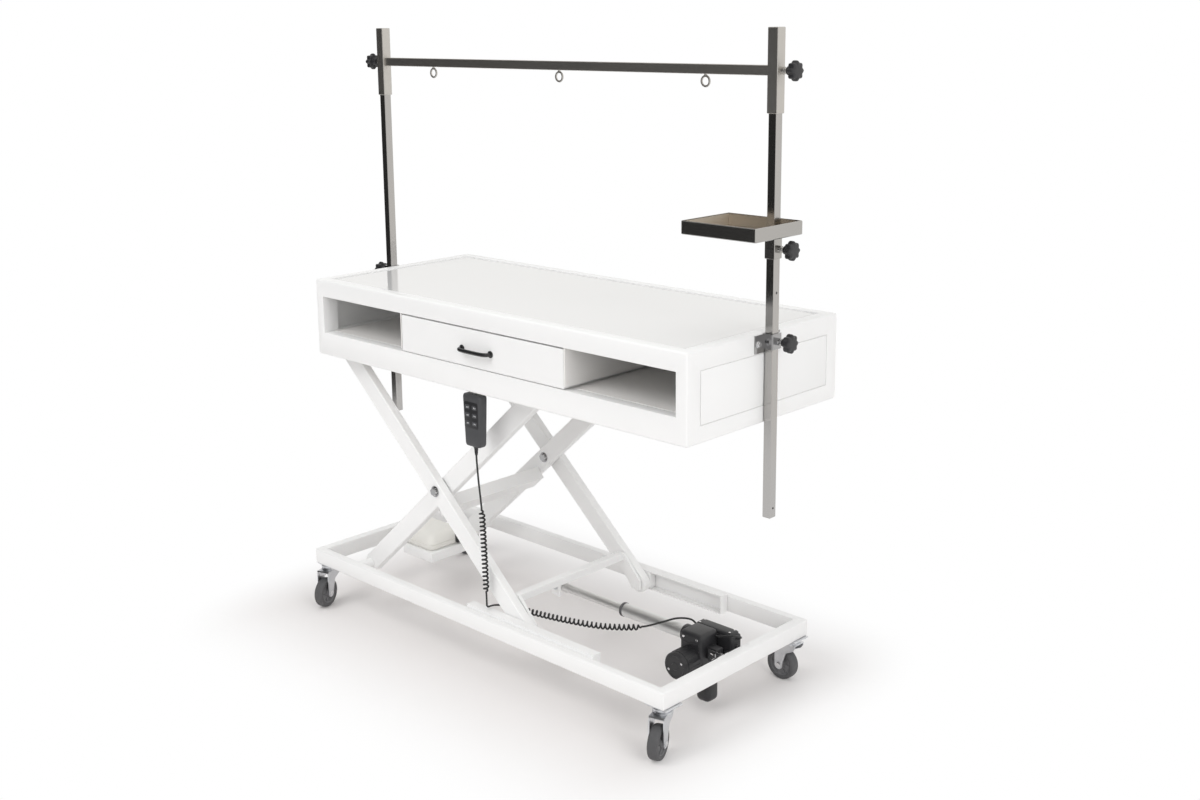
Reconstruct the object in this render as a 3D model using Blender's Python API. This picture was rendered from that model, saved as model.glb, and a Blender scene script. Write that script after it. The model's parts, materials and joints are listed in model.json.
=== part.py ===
"""Veterinary x-ray table: a scissor lift on casters, a box top with a drawer, and a gantry."""
import bpy
import bmesh
import math
from mathutils import Vector

# Driving dimensions, in metres. X runs along the table, Y from front to back, Z up from the floor.
TABLE_L = 1.200
TABLE_W = 0.500
TABLE_TOP = 0.872
BOX_H = 0.189
RIM_W = 0.028
TOP_BAND = 0.041
LOW_BAND = 0.057
SHEET_T = 0.012
SHEET_DROP = 0.002
END_PANEL_DEPTH = 0.003
BOARD_WALL = 0.004
FLOOR_T = 0.003
FLOOR_STEP = 0.0008
PARTITION_X = 0.267
PARTITION_T = 0.003
PARTITION_LIFT = 0.007
DRAWER_DEPTH = 0.350
DRAWER_WALL = 0.0025
BASE_OUT_LEFT = 0.061
BASE_IN_RIGHT = 0.059
RAIL_W = 0.020
BEAM_W = 0.025
RAIL_Z0 = 0.112
RAIL_Z1 = 0.150
TUBE_WALL = 0.002
FOOT_IN = 0.4603
MID_RISE = 0.268
ARM_W = 0.046
ARM_T = 0.022
ARM_TO_RIM = 0.017
ARM_TO_RAIL = 0.025
ARM_GAP = 0.004
TOP_PIVOT_RISE = 0.016
LIFT_SWING = math.radians(27.8)
PIVOT_IN = 0.1423
PIVOT_Z = 0.128
PIN_R = 0.008
PIN_CLEAR = 0.0004
GAP = 0.0003
SHOE_GAP = 0.0005
TOP_SHOE_R = 0.012
LIP = 0.003
ACT_Y = -0.005
ACT_Z = 0.158
ROD_R = 0.010
ROD_CLEAR = 0.0005
ROD_IN = 0.004
TUBE_R = 0.0155
TUBE_L = 0.195
POST = 0.020
POST_WALL = 0.0015
POST_OUT = 0.0125
POST_DROP = 0.391
POST_RISE = 0.598
SLEEVE_FROM = 0.439
SLEEVE_TO = 0.605
BAR_RISE = 0.522
CLAMP_DROP = 0.016
SLEEVE = 0.025
SLEEVE_CLEAR = 0.0004
BAR_H = 0.020
BAR_W = 0.016
TRAY_RISE = 0.228
TRAY_H = 0.028
TRAY_L = 0.187
TRAY_W = 0.153
TRAY_OUT = 0.0425
TRAY_BACK = 0.039
TRAY_KNOB_DROP = 0.056
TRAY_SLEEVE_L = 0.076
TRAY_WALL = 0.002
KNOB_R = 0.020
WHEEL_R = 0.0375
WHEEL_W = 0.024
CASTER_TRAIL = 0.024
CASTER_IN = 0.025
POWER_L = 0.140
POWER_W = 0.115
POWER_H = 0.044
SHELF_H = 0.026
SHELF_IN = 0.030
POWER_IN = 0.076
POWER_FRONT = 0.040
POWER_Z0 = 0.108
HANDLE_OUT = 0.017
HANDLE_HALF = 0.047
CORD_R = 0.0022
CURL_R = 0.0055

# Places that follow from them.
BOX_Z0 = TABLE_TOP - BOX_H
OPEN_Z0 = BOX_Z0 + LOW_BAND
OPEN_Z1 = TABLE_TOP - TOP_BAND
FLOOR_Z1 = OPEN_Z0
SHEET_Z0 = TABLE_TOP - SHEET_DROP - SHEET_T
HALF_L = TABLE_L / 2
HALF_W = TABLE_W / 2
IN_X = HALF_L - RIM_W
IN_Y = HALF_W - RIM_W
BASE_W = TABLE_W
BASE_Y = BASE_W / 2
BASE_X0 = -HALF_L - BASE_OUT_LEFT
BASE_X1 = HALF_L - BASE_IN_RIGHT
PIVOT_X = BASE_X0 + PIVOT_IN
RAIL_IN = BASE_Y - RAIL_W
TOP_PIVOT_Z = BOX_Z0 + TOP_PIVOT_RISE
FOOT_X = BASE_X1 - FOOT_IN
MID_X = (PIVOT_X + FOOT_X) / 2
MID_Z = PIVOT_Z + MID_RISE
ARM_ANGLE = math.atan2(MID_RISE, MID_X - PIVOT_X)
ARM_COS = math.cos(ARM_ANGLE)
ARM_SIN = math.sin(ARM_ANGLE)
ARM_LOW = math.hypot(MID_RISE, MID_X - PIVOT_X)
ARM_HIGH = (TOP_PIVOT_Z - MID_Z) / ARM_SIN
ARM_L = ARM_LOW + ARM_HIGH
SPREAD = math.cos(ARM_ANGLE - LIFT_SWING) - ARM_COS
FOOT_TRAVEL = 2 * ARM_LOW * SPREAD
A_TOP_X = MID_X - ARM_HIGH * ARM_COS
B_TOP_X = MID_X + ARM_HIGH * ARM_COS
TOP_TRAVEL = 2 * ARM_HIGH * SPREAD
ARM_A_OUT = min(IN_Y - ARM_TO_RIM, RAIL_IN - ARM_TO_RAIL)
ARM_A_IN = ARM_A_OUT - ARM_T
ARM_B_OUT = ARM_A_IN - ARM_GAP
ARM_B_IN = ARM_B_OUT - ARM_T
ROD_PIN_X = FOOT_X - 0.0807
TUBE_X1 = BASE_X1 - 0.141
TUBE_X0 = TUBE_X1 - TUBE_L
POST_X = HALF_L + POST_OUT
POST_Z0 = TABLE_TOP - POST_DROP
POST_Z1 = TABLE_TOP + POST_RISE
SLEEVE_Z0 = TABLE_TOP + SLEEVE_FROM
SLEEVE_Z1 = TABLE_TOP + SLEEVE_TO
BAR_Z = TABLE_TOP + BAR_RISE
CLAMP_Z = TABLE_TOP - CLAMP_DROP
TRAY_Z = TABLE_TOP + TRAY_RISE
TRAY_KNOB_Z = TRAY_Z - TRAY_KNOB_DROP

for old in list(bpy.data.objects):
    bpy.data.objects.remove(old)


def material(name, rgb, rough, metal=0.0):
    m = bpy.data.materials.new(name)
    m.use_nodes = True
    p = m.node_tree.nodes["Principled BSDF"]
    p.inputs["Base Color"].default_value = (*rgb, 1.0)
    p.inputs["Roughness"].default_value = rough
    p.inputs["Metallic"].default_value = metal
    return m


WHITE = material("white_paint", (0.86, 0.86, 0.85), 0.35)
SHEET = material("sheet", (0.82, 0.82, 0.82), 0.12)
STEEL = material("stainless", (0.62, 0.62, 0.63), 0.22, 1.0)
ZINC = material("zinc", (0.66, 0.67, 0.68), 0.35, 1.0)
BLACK = material("black_plastic", (0.025, 0.025, 0.027), 0.45)
DARK = material("dark_plastic", (0.07, 0.07, 0.075), 0.5)
RUBBER = material("grey_rubber", (0.12, 0.12, 0.125), 0.7)
CREAM = material("cream_plastic", (0.80, 0.79, 0.74), 0.45)


def made(bm, name, mat):
    bmesh.ops.recalc_face_normals(bm, faces=bm.faces[:])
    mesh = bpy.data.meshes.new(name)
    bm.to_mesh(mesh)
    bm.free()
    ob = bpy.data.objects.new(name, mesh)
    bpy.context.scene.collection.objects.link(ob)
    ob.data.materials.append(mat)
    return ob


def box(name, mat, x, y, z, bevel=0.0, seg=1):
    bm = bmesh.new()
    bmesh.ops.create_cube(bm, size=1.0)
    for v in bm.verts:
        v.co.x = x[0] + (v.co.x + 0.5) * (x[1] - x[0])
        v.co.y = y[0] + (v.co.y + 0.5) * (y[1] - y[0])
        v.co.z = z[0] + (v.co.z + 0.5) * (z[1] - z[0])
    if bevel:
        bmesh.ops.bevel(bm, geom=bm.edges[:], offset=bevel, segments=seg, affect="EDGES", profile=0.5)
    return made(bm, name, mat)


def lift_point(axis, a, b, t):
    if axis == "X":
        return Vector((t, a, b))
    if axis == "Y":
        return Vector((a, t, b))
    return Vector((a, b, t))


def prism(name, mat, axis, pts, t0, t1, bevel=0.0):
    """A polygon of (a, b) points, drawn out along an axis from t0 to t1."""
    bm = bmesh.new()
    low = [bm.verts.new(lift_point(axis, a, b, t0)) for a, b in pts]
    high = [bm.verts.new(lift_point(axis, a, b, t1)) for a, b in pts]
    bm.faces.new(low)
    bm.faces.new(high[::-1])
    n = len(pts)
    for i in range(n):
        j = (i + 1) % n
        bm.faces.new((low[i], high[i], high[j], low[j]))
    bmesh.ops.recalc_face_normals(bm, faces=bm.faces[:])
    if bevel:
        rims = [e for e in bm.edges if (e.verts[0] in low) == (e.verts[1] in low)]
        bmesh.ops.bevel(bm, geom=rims, offset=bevel, segments=1, affect="EDGES", profile=0.5)
    return made(bm, name, mat)


def circle(a, b, r, n=24, turn=0.0):
    return [(a + r * math.cos(2 * math.pi * i / n + turn), b + r * math.sin(2 * math.pi * i / n + turn))
            for i in range(n)]


def cyl(name, mat, axis, a, b, r, t0, t1, n=24, bevel=0.0):
    return prism(name, mat, axis, circle(a, b, r, n), t0, t1, bevel)


def lathe(name, mat, axis, a, b, profile, n=28):
    """A closed profile of (radius, along) points, turned about an axis."""
    bm = bmesh.new()
    rings = []
    for i in range(n):
        t = 2 * math.pi * i / n
        rings.append([bm.verts.new(lift_point(axis, a + r * math.cos(t), b + r * math.sin(t), s))
                      for r, s in profile])
    m = len(profile)
    for i in range(n):
        for k in range(m):
            q = (rings[i][k], rings[(i + 1) % n][k], rings[(i + 1) % n][(k + 1) % m], rings[i][(k + 1) % m])
            bm.faces.new(q)
    return made(bm, name, mat)


def cutter(ob):
    ob.hide_render = True
    ob.display_type = "WIRE"
    return ob


def change(ob, kind, others):
    for o in others:
        cutter(o)
        mod = ob.modifiers.new(kind.lower(), "BOOLEAN")
        mod.operation = kind
        mod.solver = "EXACT"
        mod.object = o
    return ob


def add(ob, *others):
    return change(ob, "UNION", others)


def cut(ob, *others):
    return change(ob, "DIFFERENCE", others)


def stadium(cx, cz, angle, length, width, n=8):
    """The outline of a bar with round ends, as (x, z) points."""
    pts = []
    h = length / 2
    for i in range(n + 1):
        t = -math.pi / 2 + math.pi * i / n
        pts.append((h + width / 2 * math.cos(t), width / 2 * math.sin(t)))
    for i in range(n + 1):
        t = math.pi / 2 + math.pi * i / n
        pts.append((-h + width / 2 * math.cos(t), width / 2 * math.sin(t)))
    c = math.cos(angle)
    s = math.sin(angle)
    return [(cx + u * c - w * s, cz + u * s + w * c) for u, w in pts]


def sweep(name, mat, pts, r, sides=5):
    """A tube of even thickness through the points, closed at both ends."""
    pts = [Vector(p) for p in pts]
    bm = bmesh.new()
    tangents = []
    for i in range(len(pts)):
        a = pts[max(i - 1, 0)]
        b = pts[min(i + 1, len(pts) - 1)]
        tangents.append((b - a).normalized())
    side = tangents[0].orthogonal().normalized()
    rings = []
    for p, t in zip(pts, tangents):
        side = (side - t * side.dot(t)).normalized()
        up = t.cross(side)
        rings.append([bm.verts.new(p + side * r * math.cos(2 * math.pi * k / sides)
                                   + up * r * math.sin(2 * math.pi * k / sides)) for k in range(sides)])
    for a, b in zip(rings, rings[1:]):
        for k in range(sides):
            j = (k + 1) % sides
            bm.faces.new((a[k], a[j], b[j], b[k]))
    bm.faces.new(rings[0][::-1])
    bm.faces.new(rings[-1])
    return made(bm, name, mat)


def smooth(points, step=0.004):
    """Even points along a smooth curve through the given points."""
    p = [Vector(q) for q in points]
    ext = [p[0] * 2 - p[1]] + p + [p[-1] * 2 - p[-2]]
    dense = []
    for i in range(1, len(ext) - 2):
        for k in range(40):
            t = k / 40
            a, b, c, d = ext[i - 1], ext[i], ext[i + 1], ext[i + 2]
            dense.append(0.5 * (2 * b + (c - a) * t + (2 * a - 5 * b + 4 * c - d) * t * t
                                + (3 * b - a - 3 * c + d) * t * t * t))
    dense.append(p[-1])
    total = sum((b - a).length for a, b in zip(dense, dense[1:]))
    n = max(2, round(total / step))
    out = [dense[0]]
    walked = 0.0
    want = total / n
    for a, b in zip(dense, dense[1:]):
        seg = (b - a).length
        while seg > 0 and walked + seg >= want * len(out) - 1e-9 and len(out) < n:
            f = (want * len(out) - walked) / seg
            out.append(a.lerp(b, min(max(f, 0.0), 1.0)))
        walked += seg
    out.append(dense[-1])
    return out


def curled(points, s0, s1, curls, per=8):
    """The curve with curls wound round it between two shares of its length, fading in and out."""
    line = smooth(points, 0.002)
    run = [0.0]
    for a, b in zip(line, line[1:]):
        run.append(run[-1] + (b - a).length)
    total = run[-1]

    def at(s):
        s = min(max(s, 0.0), total)
        k = 0
        while k < len(run) - 2 and run[k + 1] < s:
            k += 1
        f = (s - run[k]) / (run[k + 1] - run[k])
        return line[k].lerp(line[k + 1], f)

    stops = []
    plain = 0.005
    s = 0.0
    while s < s0 * total - plain / 2:
        stops.append(s)
        s += plain
    n = curls * per
    for i in range(n + 1):
        stops.append(s0 * total + (s1 - s0) * total * i / n)
    s = s1 * total + plain
    while s < total - plain / 2:
        stops.append(s)
        s += plain
    stops.append(total)
    tangent = (at(stops[1]) - at(stops[0])).normalized()
    side = tangent.orthogonal().normalized()
    out = []
    for s in stops:
        t = (at(s + 0.002) - at(s - 0.002)).normalized()
        side = (side - t * side.dot(t)).normalized()
        up = t.cross(side)
        share = (s / total - s0) / (s1 - s0)
        grow = 0.0
        if 0 <= share <= 1:
            grow = min(1.0, share * curls, (1 - share) * curls)
        turn = 2 * math.pi * curls * share
        out.append(at(s) + (side * math.cos(turn) + up * math.sin(turn)) * CURL_R * grow)
    return out


def least_gap(pts, r):
    """The least free space between stretches of one tube."""
    best = 9.0
    for i in range(len(pts)):
        for j in range(i + 6, len(pts)):
            d = (pts[i] - pts[j]).length
            if d < best:
                best = d
    return best - 2 * r


def side(y0, y1, front):
    return (-y1, -y0) if front else (y0, y1)


# The base frame: two long rails with the arm pivots welded on, and two end beams with the caster plates.
def tube_x(name, x, y, z, mat):
    body = box(name, mat, x, y, z, 0.0015)
    w = TUBE_WALL
    bore_y = (y[0] + w, y[1] - w)
    bore_z = (z[0] + w, z[1] - w)
    return cut(body, box(name + "_bore", mat, (x[0] - 0.01, x[1] + 0.01), bore_y, bore_z))


for label in ("front", "rear"):
    f = label == "front"
    rail_y = side(RAIL_IN, BASE_Y, f)
    rail = tube_x("base_rail_" + label, (BASE_X0, BASE_X1), rail_y, (RAIL_Z0, RAIL_Z1), WHITE)
    boss_y = side(ARM_B_OUT + GAP, RAIL_IN + 0.001, f)
    pin_y = side(ARM_B_IN - 0.004, ARM_B_OUT + 0.002, f)
    cap_y = side(ARM_B_IN - 0.008, ARM_B_IN - GAP, f)
    boss = cyl("boss_" + label, WHITE, "Y", PIVOT_X, PIVOT_Z, 0.013, *boss_y)
    pin = cyl("pin_" + label, WHITE, "Y", PIVOT_X, PIVOT_Z, PIN_R, *pin_y)
    cap = cyl("cap_" + label, WHITE, "Y", PIVOT_X, PIVOT_Z, 0.011, *cap_y)
    add(rail, boss, pin, cap)

CASTERS = {
    "fl": (BASE_X0 + CASTER_IN, -BASE_Y + CASTER_IN, -70.0),
    "fr": (BASE_X1 - CASTER_IN, -BASE_Y + CASTER_IN, -70.0),
    "rl": (BASE_X0 + CASTER_IN, BASE_Y - CASTER_IN, 90.0),
    "rr": (BASE_X1 - CASTER_IN, BASE_Y - CASTER_IN, 180.0),
}
PLATE_T = 0.003
for label, x0, keys in (("left", BASE_X0, ("fl", "rl")), ("right", BASE_X1 - BEAM_W, ("fr", "rr"))):
    ys = (-RAIL_IN + GAP, RAIL_IN - GAP)
    beam = box("base_beam_" + label, WHITE, (x0, x0 + BEAM_W), ys, (RAIL_Z0, RAIL_Z1), 0.0015)
    for k in keys:
        cx, cy, _ = CASTERS[k]
        out = 1 if cy > 0 else -1
        reach = sorted((cy - out * 0.030, cy + out * 0.022))
        plate_x = (cx - 0.030, cx + 0.030) if label == "right" else (cx - 0.024, cx + 0.036)
        add(beam, box("plate_" + k, ZINC, plate_x, reach, (RAIL_Z0 - GAP - PLATE_T, RAIL_Z0 - GAP)))
        add(beam, box("weld_" + k, ZINC, (x0 + 0.004, x0 + BEAM_W - 0.004),
                      sorted((cy - out * 0.029, cy - out * 0.012)), (RAIL_Z0 - 0.002, RAIL_Z0 + 0.002)))

FORK_TOP = RAIL_Z0 - GAP - PLATE_T - GAP
for k, (cx, cy, deg) in CASTERS.items():
    t = math.radians(deg)
    head = cyl("fork_" + k, ZINC, "Z", cx, cy, 0.021, 0.0935, FORK_TOP, 24)
    along = Vector((math.cos(t), math.sin(t), 0.0))
    across = Vector((-math.sin(t), math.cos(t), 0.0))
    crown = bmesh.new()
    outline = [(-0.022, -0.0180), (0.034, -0.0180), (0.034, 0.0180), (-0.022, 0.0180)]
    low = [crown.verts.new(Vector((cx, cy, 0.092)) + along * a + across * b) for a, b in outline]
    high = [crown.verts.new(Vector((cx, cy, 0.0955)) + along * a + across * b) for a, b in outline]
    crown.faces.new(low[::-1])
    crown.faces.new(high)
    for i in range(4):
        crown.faces.new((low[i], low[(i + 1) % 4], high[(i + 1) % 4], high[i]))
    pieces = [made(crown, "crown_" + k, ZINC)]
    for sgn in (-1, 1):
        leg = bmesh.new()
        shape = [(-0.020, 0.0945), (0.033, 0.0945), (CASTER_TRAIL + 0.010, WHEEL_R + 0.002),
                 (CASTER_TRAIL + 0.006, WHEEL_R - 0.009), (CASTER_TRAIL - 0.006, WHEEL_R - 0.009),
                 (CASTER_TRAIL - 0.011, WHEEL_R + 0.002)]
        inner = [leg.verts.new(Vector((cx, cy, z)) + along * a + across * (sgn * 0.0150)) for a, z in shape]
        outer = [leg.verts.new(Vector((cx, cy, z)) + along * a + across * (sgn * 0.0175)) for a, z in shape]
        leg.faces.new(inner)
        leg.faces.new(outer[::-1])
        for i in range(6):
            leg.faces.new((inner[i], inner[(i + 1) % 6], outer[(i + 1) % 6], outer[i]))
        pieces.append(made(leg, f"leg_{k}_{sgn}", ZINC))
    centre = Vector((cx, cy, WHEEL_R)) + along * CASTER_TRAIL
    axle = bmesh.new()
    ring_a = []
    for i in range(16):
        q = 2 * math.pi * i / 16
        out = along * math.cos(q) + Vector((0, 0, 1)) * math.sin(q)
        ring_a.append(axle.verts.new(centre - across * 0.0195 + out * 0.0045))
    ring_b = [axle.verts.new(v.co + across * 0.039) for v in ring_a]
    axle.faces.new(ring_a)
    axle.faces.new(ring_b[::-1])
    for i in range(16):
        axle.faces.new((ring_a[i], ring_b[i], ring_b[(i + 1) % 16], ring_a[(i + 1) % 16]))
    pieces.append(made(axle, "axle_" + k, ZINC))
    add(head, *pieces)
    wheel = bmesh.new()
    w = WHEEL_W / 2
    prof = [(0.0050, -0.0145), (0.0110, -0.0145), (0.0250, -w + 0.003), (0.0270, -w), (0.0345, -w),
            (WHEEL_R, -w + 0.0055), (WHEEL_R, w - 0.0055), (0.0345, w), (0.0270, w), (0.0250, w - 0.003),
            (0.0110, 0.0145), (0.0050, 0.0145)]
    rings = []
    for i in range(20):
        q = 2 * math.pi * i / 20
        d = along * math.cos(q) + Vector((0, 0, 1)) * math.sin(q)
        rings.append([wheel.verts.new(centre + d * r + across * s) for r, s in prof])
    for i in range(20):
        for m in range(len(prof)):
            n = (m + 1) % len(prof)
            wheel.faces.new((rings[i][m], rings[(i + 1) % 20][m], rings[(i + 1) % 20][n], rings[i][n]))
    made(wheel, "wheel_" + k, RUBBER)

# The lower guides, which the carriage slides in.
SHOE_Z0 = PIVOT_Z - 0.0145
SHOE_Z1 = PIVOT_Z + 0.0255
SHOE_X = 0.020
for label, x0 in (("front", FOOT_X - 0.168), ("rear", FOOT_X - 0.036)):
    f = label == "front"
    y_out = RAIL_IN - GAP
    y_in = ARM_A_OUT + 0.002
    x1 = FOOT_X + FOOT_TRAVEL + SHOE_X + 0.042
    z0 = SHOE_Z0 - SHOE_GAP - LIP
    z1 = SHOE_Z1 + SHOE_GAP + LIP
    guide = box("guide_" + label, WHITE, (x0, x1), side(y_in, y_out, f), (z0, z1))
    slot_y = side(y_in - 0.01, y_out - LIP, f)
    cut(guide, box("guide_slot_" + label, WHITE, (x0 - 0.01, x1 - 0.004), slot_y, (z0 + LIP, z1 - LIP)))

# The arms. B turns on the base and carries the pins, A turns on B. Both cross below their middles.
MORE = (ARM_HIGH - ARM_LOW) / 2
B_SHAPE = stadium(MID_X + MORE * ARM_COS, MID_Z + MORE * ARM_SIN, ARM_ANGLE, ARM_L, ARM_W)
A_SHAPE = stadium(MID_X - MORE * ARM_COS, MID_Z + MORE * ARM_SIN, -ARM_ANGLE, ARM_L, ARM_W)
SHOE_Y0 = ARM_A_OUT + 0.0035
SHOE_Y1 = ARM_A_OUT + 0.0125
for label in ("front", "rear"):
    f = label == "front"
    b = prism("arm_b_" + label, WHITE, "Y", B_SHAPE, *side(ARM_B_IN, ARM_B_OUT, f), 0.002)
    hole_y = side(ARM_B_IN - 0.05, ARM_A_OUT + 0.015, f)
    hole = cyl("arm_b_hole_" + label, WHITE, "Y", PIVOT_X, PIVOT_Z, PIN_R + PIN_CLEAR, *hole_y)
    mid_y = side(ARM_B_OUT - 0.002, ARM_A_OUT + 0.003, f)
    head_y = side(ARM_A_OUT + GAP, ARM_A_OUT + 0.0065, f)
    nut_y = side(ARM_B_IN - 0.006, ARM_B_IN + 0.001, f)
    mid = cyl("mid_pin_" + label, ZINC, "Y", MID_X, MID_Z, PIN_R, *mid_y)
    head = cyl("mid_head_" + label, ZINC, "Y", MID_X, MID_Z, 0.010, *head_y, 6)
    nut = cyl("mid_nut_" + label, ZINC, "Y", MID_X, MID_Z, 0.010, *nut_y, 6)
    tip_y = side(ARM_B_OUT - 0.002, SHOE_Y1 - 0.0005, f)
    tip = cyl("top_pin_" + label, ZINC, "Y", B_TOP_X, TOP_PIVOT_Z, 0.006, *tip_y)
    shoe_y = side(SHOE_Y0, SHOE_Y1, f)
    shoe = cyl("top_shoe_" + label, BLACK, "Y", B_TOP_X, TOP_PIVOT_Z, TOP_SHOE_R, *shoe_y, 32)
    cut(b, hole)
    add(b, mid, head, nut, tip, shoe)
    a = prism("arm_a_" + label, WHITE, "Y", A_SHAPE, *side(ARM_A_IN, ARM_A_OUT, f), 0.002)
    for i, (hx, hz) in enumerate(((A_TOP_X, TOP_PIVOT_Z), (MID_X, MID_Z), (FOOT_X, PIVOT_Z))):
        cut(a, cyl(f"arm_a_hole_{label}_{i}", WHITE, "Y", hx, hz, PIN_R + PIN_CLEAR, *hole_y))


def on_b(u, w):
    return (MID_X + u * ARM_COS - w * ARM_SIN, MID_Z + u * ARM_SIN + w * ARM_COS)


CROSS = [on_b(-0.085, -0.040), on_b(-0.035, -0.040), on_b(-0.035, -0.008), on_b(-0.085, -0.008)]
prism("arm_b_cross", WHITE, "Y", CROSS, -ARM_B_IN + GAP, ARM_B_IN - GAP, 0.002)

# The carriage: a tie bar between plates at the feet of the A arms, with stubs and shoes, and the rod's lugs.
TIE_X0 = FOOT_X - 0.060
TIE_X1 = FOOT_X - 0.040
TIE_Z1 = ACT_Z + 0.041
TIE_Z0 = TIE_Z1 - 0.018
FOOT_Y0 = ARM_A_IN - 0.009
FOOT_Y1 = ARM_A_IN - 0.0015
TIE_Y = FOOT_Y1 - 0.001
carriage = box("carriage", WHITE, (TIE_X0, TIE_X1), (-TIE_Y, TIE_Y), (TIE_Z0, TIE_Z1), 0.001)
FOOT_SHAPE = [(FOOT_X - 0.012, PIVOT_Z - 0.012), (FOOT_X + 0.012, PIVOT_Z - 0.012),
              (FOOT_X + 0.012, PIVOT_Z + 0.012), (TIE_X1, TIE_Z1 - 0.001),
              (TIE_X0 + 0.001, TIE_Z1 - 0.001), (TIE_X0 + 0.001, TIE_Z0)]
for label in ("front", "rear"):
    f = label == "front"
    shoe_x = (FOOT_X - SHOE_X, FOOT_X + SHOE_X)
    shoe_y = side(ARM_A_OUT + 0.001, RAIL_IN - GAP - LIP - 0.0012, f)
    stub_y = side(FOOT_Y0 + 0.001, RAIL_IN - GAP - LIP - 0.0012, f)
    add(carriage, prism("foot_plate_" + label, WHITE, "Y", FOOT_SHAPE, *side(FOOT_Y0, FOOT_Y1, f)),
        cyl("stub_" + label, WHITE, "Y", FOOT_X, PIVOT_Z, PIN_R - 0.0005, *stub_y),
        box("shoe_" + label, WHITE, shoe_x, shoe_y, (SHOE_Z0, SHOE_Z1), 0.001))
LUG = [(ROD_PIN_X - 0.013, ACT_Z - 0.019), (ROD_PIN_X + 0.012, ACT_Z - 0.021), (ROD_PIN_X + 0.014, TIE_Z0),
       (TIE_X1, TIE_Z0 + 0.003), (TIE_X1, TIE_Z1), (TIE_X0, TIE_Z1), (ROD_PIN_X - 0.013, ACT_Z + 0.012)]
for n, y in enumerate((ACT_Y - 0.016, ACT_Y + 0.011)):
    add(carriage, prism(f"lug_{n}", WHITE, "Y", LUG, y, y + 0.005))
add(carriage, cyl("rod_pin", ZINC, "Y", ROD_PIN_X, ACT_Z, 0.005, ACT_Y - 0.019, ACT_Y + 0.019, 20))

rod = cyl("actuator_rod", STEEL, "X", ACT_Y, ACT_Z, ROD_R, ROD_PIN_X, TUBE_X0 + ROD_IN, 28)
add(rod, cyl("rod_eye", STEEL, "Y", ROD_PIN_X, ACT_Z, 0.0105, ACT_Y - 0.0105, ACT_Y + 0.0105, 28))
cut(rod, cyl("rod_eye_hole", STEEL, "Y", ROD_PIN_X, ACT_Z, 0.0054, -0.05, 0.05, 20))

# The actuator on the base: tube, gear case with the motor across it, controller behind, and its mount.
BORE = ROD_R + ROD_CLEAR
tube = cyl("actuator_tube", ZINC, "X", ACT_Y, ACT_Z, TUBE_R, TUBE_X0, TUBE_X1, 36)
add(tube, cyl("tube_ring", ZINC, "X", ACT_Y, ACT_Z, TUBE_R + 0.0010, TUBE_X0, TUBE_X0 + 0.008, 36))
cut(tube, cyl("tube_bore", ZINC, "X", ACT_Y, ACT_Z, BORE, TUBE_X0 - 0.01, TUBE_X1 - 0.001, 28))
CASE_X0 = TUBE_X1 + GAP
CASE_X1 = TUBE_X1 + 0.062
CASE_Y = 0.030
MOTOR_X = TUBE_X1 + 0.030
MOTOR_Z = ACT_Z - 0.042
MOTOR_R = 0.031
LUG_X = TUBE_X1 + 0.082
LUG_Z = ACT_Z - 0.023
housing = box("actuator_housing", BLACK, (CASE_X0, CASE_X1), (ACT_Y - CASE_Y, ACT_Y + CASE_Y),
              (ACT_Z - 0.076, ACT_Z + 0.020), 0.006)
add(housing, cyl("motor", BLACK, "Y", MOTOR_X, MOTOR_Z, MOTOR_R, ACT_Y - 0.080, ACT_Y, 32, 0.003),
    box("gear_foot", BLACK, (TUBE_X1 + 0.036, TUBE_X1 + 0.074), (ACT_Y - 0.019, ACT_Y + 0.021),
        (0.018, ACT_Z - 0.068), 0.008),
    box("rear_lug", BLACK, (TUBE_X1 + 0.055, LUG_X + 0.010), (ACT_Y - 0.011, ACT_Y + 0.011),
        (LUG_Z - 0.015, LUG_Z + 0.015), 0.002))
cut(housing, cyl("rear_lug_hole", BLACK, "Y", LUG_X, LUG_Z, 0.0054, -0.05, 0.05, 20))
BOX_X0 = TUBE_X1 - 0.010
BOX_X1 = TUBE_X1 + 0.098
BOX_Y0 = ACT_Y + CASE_Y + GAP
BOX_Y1 = BOX_Y0 + 0.036
box("actuator_controller", BLACK, (BOX_X0, BOX_X1), (BOX_Y0, BOX_Y1), (ACT_Z - 0.042, ACT_Z + 0.015), 0.005)
MX = BASE_X1 - BEAM_W - GAP
mount = box("actuator_mount", STEEL, (MX - 0.003, MX), (ACT_Y - 0.036, ACT_Y + 0.036),
            (RAIL_Z0 + 0.001, RAIL_Z1 - 0.001), 0.0008)
for n, y in enumerate((ACT_Y - 0.0155, ACT_Y + 0.0115)):
    add(mount, box(f"mount_ear_{n}", STEEL, (LUG_X - 0.012, MX - 0.001), (y, y + 0.004),
                   (LUG_Z - 0.015, LUG_Z + 0.012)))
add(mount, cyl("mount_pin", STEEL, "Y", LUG_X, LUG_Z, 0.005, ACT_Y - 0.020, ACT_Y + 0.020, 20))

# The power box, on a strap from the left beam that leaves the post its way down.
PX0 = BASE_X0 + POWER_IN
PX1 = PX0 + POWER_L
PY1 = POWER_W - POWER_FRONT
SHELF_Z1 = POWER_Z0 + SHELF_H
power = box("power_box", CREAM, (PX0, PX1), (-POWER_FRONT, PY1), (SHELF_Z1 - 0.002, SHELF_Z1 + POWER_H),
            0.016, 4)
add(power, box("power_shelf", WHITE, (PX0 + SHELF_IN, PX1 + 0.007), (-POWER_FRONT - 0.004, PY1 + 0.005),
               (POWER_Z0, SHELF_Z1), 0.001),
    box("power_strap", WHITE, (BASE_X0 + BEAM_W + GAP, PX0 + SHELF_IN + 0.005), (PY1 - 0.053, PY1),
        (POWER_Z0 + 0.006, POWER_Z0 + 0.0135)))

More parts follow.
